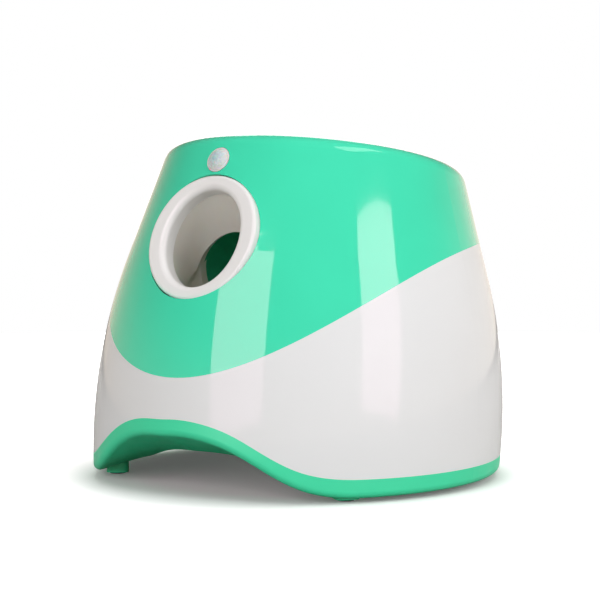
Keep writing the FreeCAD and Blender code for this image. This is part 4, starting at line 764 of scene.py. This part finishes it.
class LAUNCHER_OT_electrics(bpy.types.Operator):
    """Builds the parts soldered to the boards, the cells' jackets and their springs"""
    bl_idname = "launcher.electrics"
    bl_label = "Electrics"

    def execute(self, context):
        tones = context.scene.launcher_colours
        # Filled mouldings: the case is satin, the epoxy duller, and the nylon lets a little light in.
        case = moulded("relay case polyester", linear("#1c3f7a"), 0.36, 0.5 * MM, 0.004 * MM, 0.03)
        epoxy = moulded("black moulding epoxy", tones.black, 0.42, 0.4 * MM, 0.006 * MM)
        nylon = moulded("ivory nylon", linear("#d9d2ba"), 0.40, 0.5 * MM, 0.004 * MM, 0.02, milky=0.2)
        # Drawn can and dipped leads: the etch leaves the can softer than the tin.
        can = metal("etched aluminium", linear("#c3c5c6"), 0.32)
        tin = metal("bright tin", linear("#c8cacb"), 0.24)
        shape = bmesh.new()
        for part in (relay, capacitor, sounder, plug_header, controller):
            part(shape)
        parts = settle("board_components", shape, [case, epoxy, nylon, can, tin], "root")
        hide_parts("board_parts")

        # Resistor glaze: glassy and nearly black.
        glaze = moulded("resistor glaze", linear("#191a1b"), 0.30, 0.3 * MM, 0.003 * MM, 0.02)
        spots = [(y, 84) for y in (-60, -56, -52, -48, -44)] + [(y, 80) for y in (-60, -56, -52)]
        spots += [(-60, 52), (-40, 52), (-40, 49), (-38, 84), (-20, 84), (-16, 84)]
        spots += [(-22, z) for z in (50, 54, 67, 71)]
        grown("board_chips", chip_tree(), [(BOARD_FACE, y, z) for y, z in spots],
              {"Long": 2.0 * MM, "Wide": 1.25 * MM, "High": 0.6 * MM, "Facing": (0.0, -math.pi / 2, 0.0),
               "Finish": glaze, "Tin": tin}, "root")
        # Nickel plated spring wire: the brightest metal on the part.
        wire = metal("nickel spring wire", linear("#cfcdc8"), 0.22)
        grown("contact_springs", coil_tree(), CELL_ENDS,
              {"Start": 6.2 * MM, "End": 4.6 * MM, "Wire": 0.28 * MM, "Turns": 2.5, "Length": 0.45 * MM,
               "Facing": (0.0, math.pi / 2, 0.0), "Finish": wire}, "root")
        dress(foil_jacket(), "battery_cells")
        return {"FINISHED"}


class LAUNCHER_OT_works(bpy.types.Operator):
    """Finishes the gears, shafts, motor and boards"""
    bl_idname = "launcher.works"
    bl_label = "Works"

    def execute(self, context):
        tones = context.scene.launcher_colours
        sizes = context.scene.launcher_sizes
        # Acetal: dense and waxy, left cream in the gears and dyed green in the striker.
        dress(moulded("natural acetal", tones.gear, 0.30, sizes.grain, 0.004 * MM, 0.02,
                      ior=1.48, milky=0.3), "sector_gear", "drive_wheel", "idler_gear")
        dress(moulded("green acetal", tones.striker, 0.22, sizes.grain, 0.004 * MM, 0.05, ior=1.48),
              "striker")
        # Solder mask: a thin, fairly glossy coat over the laminate's weave.
        dress(moulded("green solder mask", tones.board, 0.30, 0.3 * MM, 0.003 * MM),
              "main_board", "control_board", "pir_board")
        # Turned steel shows the tool's lines, zinc plate is soft and greyer, nickel is clear and warm.
        dress(metal("turned steel", linear("#b9bbbd"), 0.28, (0.15, 1.0, 1.0)),
              "sector_shaft", "idler_shaft", "motor_pinion", "spring_rod", "pir_sensor",
              "ball_switch_lever")
        dress(metal("zinc plate", linear("#a8abad"), 0.34), "motor_body")
        dress(metal("nickel plate", linear("#c9c7c2"), 0.20), "battery_contacts")
        return {"FINISHED"}


# The camera, in millimetres, radians and pixels of the picture.
PICTURE_WIDTH = 600
FOCAL_PIXELS = 1485.9
SENSOR_WIDTH = 36.0
CAMERA_SPOT = (620.6, -864.9, 162.6)
CAMERA_HEADING = math.radians(35.608)       # from +Y towards -X
CAMERA_DIP = math.radians(2.16)

LIT_POINT = Vector((0, 0, 0.12))            # what every light faces
FLOOR_REACH = 6.0

# Azimuth, elevation, distance, width and height, watts, colour, roll, and the rays that miss the light.
# Angles are in degrees and lengths in metres. The strips light the sides, and the glows beside them are
# what the gloss shows. They are pinker, because green plastic takes the pink out of what it mirrors.
LIGHTS = {
    "front strip": (-90, 18.5, 2.2, (1.18, 1.30), 23.0, "#f6faff", 0, "glossy"),
    "right strip": (-8, 19.5, 2.2, (0.88, 1.50), 21.5, "#f6faff", 0, "glossy"),
    "front glow": (-90, 21.0, 2.2, (1.14, 1.63), 17.0, "#ffcee6", 10, "diffuse"),
    "right glow": (-8, 19.4, 2.2, (0.88, 1.48), 14.7, "#ffcee6", -12, "diffuse"),
    "rear fill": (126, 18, 2.4, (2.0, 1.6), 26.0, "#ffffff", 0, "glossy"),
    "rear bank": (126, 22, 2.4, (0.9, 1.8), 7.0, "#fff6fb", 0, None),
    "top bank": (10, 80, 2.4, (2.4, 2.4), 28.0, "#ffffff", 0, "glossy"),
    "rim glow": (6, 60, 2.4, (1.2, 0.5), 3.6, "#ffffff", 0, "diffuse"),
    "right fill": (45, 20, 2.4, (1.0, 1.0), 8.0, "#ffffff", 0, "glossy"),
}


def stand(name, points, faces, finish):
    """A piece of the studio, in metres."""
    mesh = bpy.data.meshes.new(name)
    mesh.from_pydata(points, [], faces)
    mesh.materials.append(finish)
    made = bpy.data.objects.new(name, mesh)
    bpy.context.scene.collection.objects.link(made)
    return made


def floor_sheet(name, z, finish):
    """A square sheet round the object."""
    corners = [(x * FLOOR_REACH, y * FLOOR_REACH, z) for x, y in ((-1, -1), (1, -1), (1, 1), (-1, 1))]
    return stand(name, corners, [range(4)], finish)


def table():
    """The floor that the camera sees, and the card under it that lights the object."""
    # A table of opal sheet with a painted glow: the glow is weak near the object, where its soft shadows
    # show, and strong further out.
    opal, tree = material("opal table")
    place = add(tree, "ShaderNodeTexCoord").outputs["Object"]
    away = add(tree, "ShaderNodeVectorMath", {"operation": "LENGTH"}, {0: place})
    painted_glow = add(tree, "ShaderNodeMapRange", {"interpolation_type": "SMOOTHSTEP"},
               {"Value": away.outputs["Value"], "From Min": 0.138, "From Max": 0.215,
                "To Min": 0.085, "To Max": 0.85})
    # Close to the tray the sheet is painted a little pink, against the green light that the tray throws on
    # it.
    painted_pink_reach = add(tree, "ShaderNodeMapRange", {"interpolation_type": "SMOOTHSTEP"},
                  {"Value": away.outputs["Value"], "From Min": 0.105, "From Max": 0.155})
    tone = add(tree, "ShaderNodeMix", {"data_type": "RGBA"},
               {"Factor": painted_pink_reach.outputs["Result"], 6: linear("#f9dae4"), 7: linear("#fafafa")})
    shader = add(tree, "ShaderNodeBsdfPrincipled", None,
                 {"Base Color": tone.outputs[2], "Roughness": 0.9, "Specular IOR Level": 0.1,
                  "Emission Color": linear("#ffffff"), "Emission Strength": painted_glow.outputs["Result"]})
    add(tree, "ShaderNodeOutputMaterial", None, {"Surface": shader.outputs["BSDF"]})
    floor = floor_sheet("floor", 0.0, opal)
    floor.visible_diffuse = floor.visible_glossy = False
    # What the object sees of the table: plain card, which returns less light than the opal does.
    card = moulded("white card", linear("#d4d4d2"), 0.8, 1.5 * MM, 0.01 * MM, 0.01)
    floor_sheet("floor_card", -0.001, card).visible_camera = False


def backdrop():
    """A white screen all round, which only a camera sees, so it adds no light."""
    screen, tree = material("white backdrop paper")
    glow = add(tree, "ShaderNodeEmission", None, {"Color": linear("#ffffff"), "Strength": 1.0})
    add(tree, "ShaderNodeOutputMaterial", None, {"Surface": glow.outputs["Emission"]})
    steps, reach, high = 64, 1.7, 3.0
    angles = [2 * math.pi * step / steps for step in range(steps)]
    points = [(reach * math.cos(a), reach * math.sin(a), z) for z in (0.0, high) for a in angles]
    faces = [(i, (i + 1) % steps, steps + (i + 1) % steps, steps + i) for i in range(steps)]
    made = stand("backdrop", points, faces, screen)
    for ray in ("diffuse", "glossy", "transmission", "volume_scatter", "shadow"):
        setattr(made, "visible_" + ray, False)


def room():
    """A dim warm world that is brightest at the horizon and darker on the object's left."""
    world = bpy.data.worlds.new("studio")
    world.use_nodes = True
    tree = world.node_tree
    tree.nodes.clear()
    look = add(tree, "ShaderNodeTexCoord").outputs["Generated"]
    split = add(tree, "ShaderNodeSeparateXYZ", None, {"Vector": look})
    height = add(tree, "ShaderNodeMapRange", {"interpolation_type": "SMOOTHSTEP"},
                 {"Value": split.outputs["Z"], "From Min": 0.0, "From Max": 0.45,
                  "To Min": 1.0, "To Max": 0.165})
    side = add(tree, "ShaderNodeVectorMath", {"operation": "DOT_PRODUCT"}, {0: look, 1: (0.811, 0.585, 0.0)})
    share = add(tree, "ShaderNodeMapRange", {"interpolation_type": "SMOOTHSTEP"},
                {"Value": side.outputs["Value"], "From Min": -0.9, "From Max": 0.3,
                 "To Min": 0.62, "To Max": 1.0})
    power = add(tree, "ShaderNodeMath", {"operation": "MULTIPLY"},
                {0: height.outputs["Result"], 1: share.outputs["Result"]})
    tone = add(tree, "ShaderNodeMix", {"data_type": "RGBA"},
               {"Factor": share.outputs["Result"], 6: linear("#ffdcae"), 7: linear("#fff2e2")})
    sky = add(tree, "ShaderNodeBackground", None,
              {"Color": tone.outputs[2], "Strength": power.outputs["Value"]})
    add(tree, "ShaderNodeOutputWorld", None, {"Surface": sky.outputs["Background"]})
    return world


def softbox(name, azimuth, elevation, distance, size, watts, tone, roll, missed):
    """An area light on a sphere about the lit point, facing it and rolled about its own axis."""
    data = bpy.data.lights.new(name, "AREA")
    data.shape = "RECTANGLE"
    data.size, data.size_y = size
    data.energy = watts
    data.color = linear(tone)[:3]
    lamp = bpy.data.objects.new(name, data)
    a, e = math.radians(azimuth), math.radians(elevation)
    spot = distance * Vector((math.cos(a) * math.cos(e), math.sin(a) * math.cos(e), math.sin(e)))
    lamp.location = LIT_POINT + spot
    lamp.rotation_euler = (-spot).to_track_quat("-Z", "Y").to_euler()
    lamp.rotation_euler.rotate_axis("Z", math.radians(roll))
    if missed:
        setattr(lamp, "visible_" + missed, False)
    bpy.context.scene.collection.objects.link(lamp)


def camera():
    """A long lens near the height of the muzzle, to the right of it."""
    data = bpy.data.cameras.new("view")
    data.sensor_width = SENSOR_WIDTH
    data.lens = FOCAL_PIXELS / PICTURE_WIDTH * SENSOR_WIDTH
    data.clip_start = 0.05
    view = bpy.data.objects.new("view", data)
    flat = math.cos(CAMERA_DIP)
    ahead = Vector((-math.sin(CAMERA_HEADING) * flat, math.cos(CAMERA_HEADING) * flat, -math.sin(CAMERA_DIP)))
    view.location = Vector(CAMERA_SPOT) * MM
    view.rotation_euler = ahead.to_track_quat("-Z", "Y").to_euler()
    bpy.context.scene.collection.objects.link(view)
    return view


class LAUNCHER_OT_studio(bpy.types.Operator):
    """Sets up the pale floor, the soft lights and the camera"""
    bl_idname = "launcher.studio"
    bl_label = "Studio"

    def execute(self, context):
        scene = context.scene
        scene.view_settings.view_transform = "Standard"
        table()
        backdrop()
        scene.world = room()
        for name, setting in LIGHTS.items():
            softbox(name, *setting)
        scene.camera = camera()
        return {"FINISHED"}


class LAUNCHER_PT_panel(bpy.types.Panel):
    """Buttons that dress the launcher, one for each group of pieces"""
    bl_idname = "LAUNCHER_PT_panel"
    bl_label = "Ball launcher"
    bl_space_type = "VIEW_3D"
    bl_region_type = "UI"
    bl_category = "Launcher"

    def draw(self, context):
        for step in STEPS:
            self.layout.operator(step.bl_idname)
        for group in (context.scene.launcher_colours, context.scene.launcher_sizes):
            for name in group.bl_rna.properties.keys():
                if name not in ("rna_type", "name"):
                    self.layout.prop(group, name)


STEPS = (LAUNCHER_OT_shells, LAUNCHER_OT_ducts, LAUNCHER_OT_works, LAUNCHER_OT_electrics,
         LAUNCHER_OT_lens, LAUNCHER_OT_screws, LAUNCHER_OT_springs, LAUNCHER_OT_feet,
         LAUNCHER_OT_controls, LAUNCHER_OT_studio)
CLASSES = (LauncherColours, LauncherSizes) + STEPS + (LAUNCHER_PT_panel,)


def register():
    for made in CLASSES:
        bpy.utils.register_class(made)
    bpy.types.Scene.launcher_colours = PointerProperty(type=LauncherColours)
    bpy.types.Scene.launcher_sizes = PointerProperty(type=LauncherSizes)


def unregister():
    del bpy.types.Scene.launcher_colours
    del bpy.types.Scene.launcher_sizes
    for made in reversed(CLASSES):
        bpy.utils.unregister_class(made)


def main():
    register()
    bpy.ops.launcher.shells()
    bpy.ops.launcher.ducts()
    bpy.ops.launcher.works()
    bpy.ops.launcher.electrics()
    bpy.ops.launcher.lens()
    bpy.ops.launcher.screws()
    bpy.ops.launcher.springs()
    bpy.ops.launcher.feet()
    bpy.ops.launcher.controls()
    bpy.ops.launcher.studio()


if __name__ == "__main__":
    main()
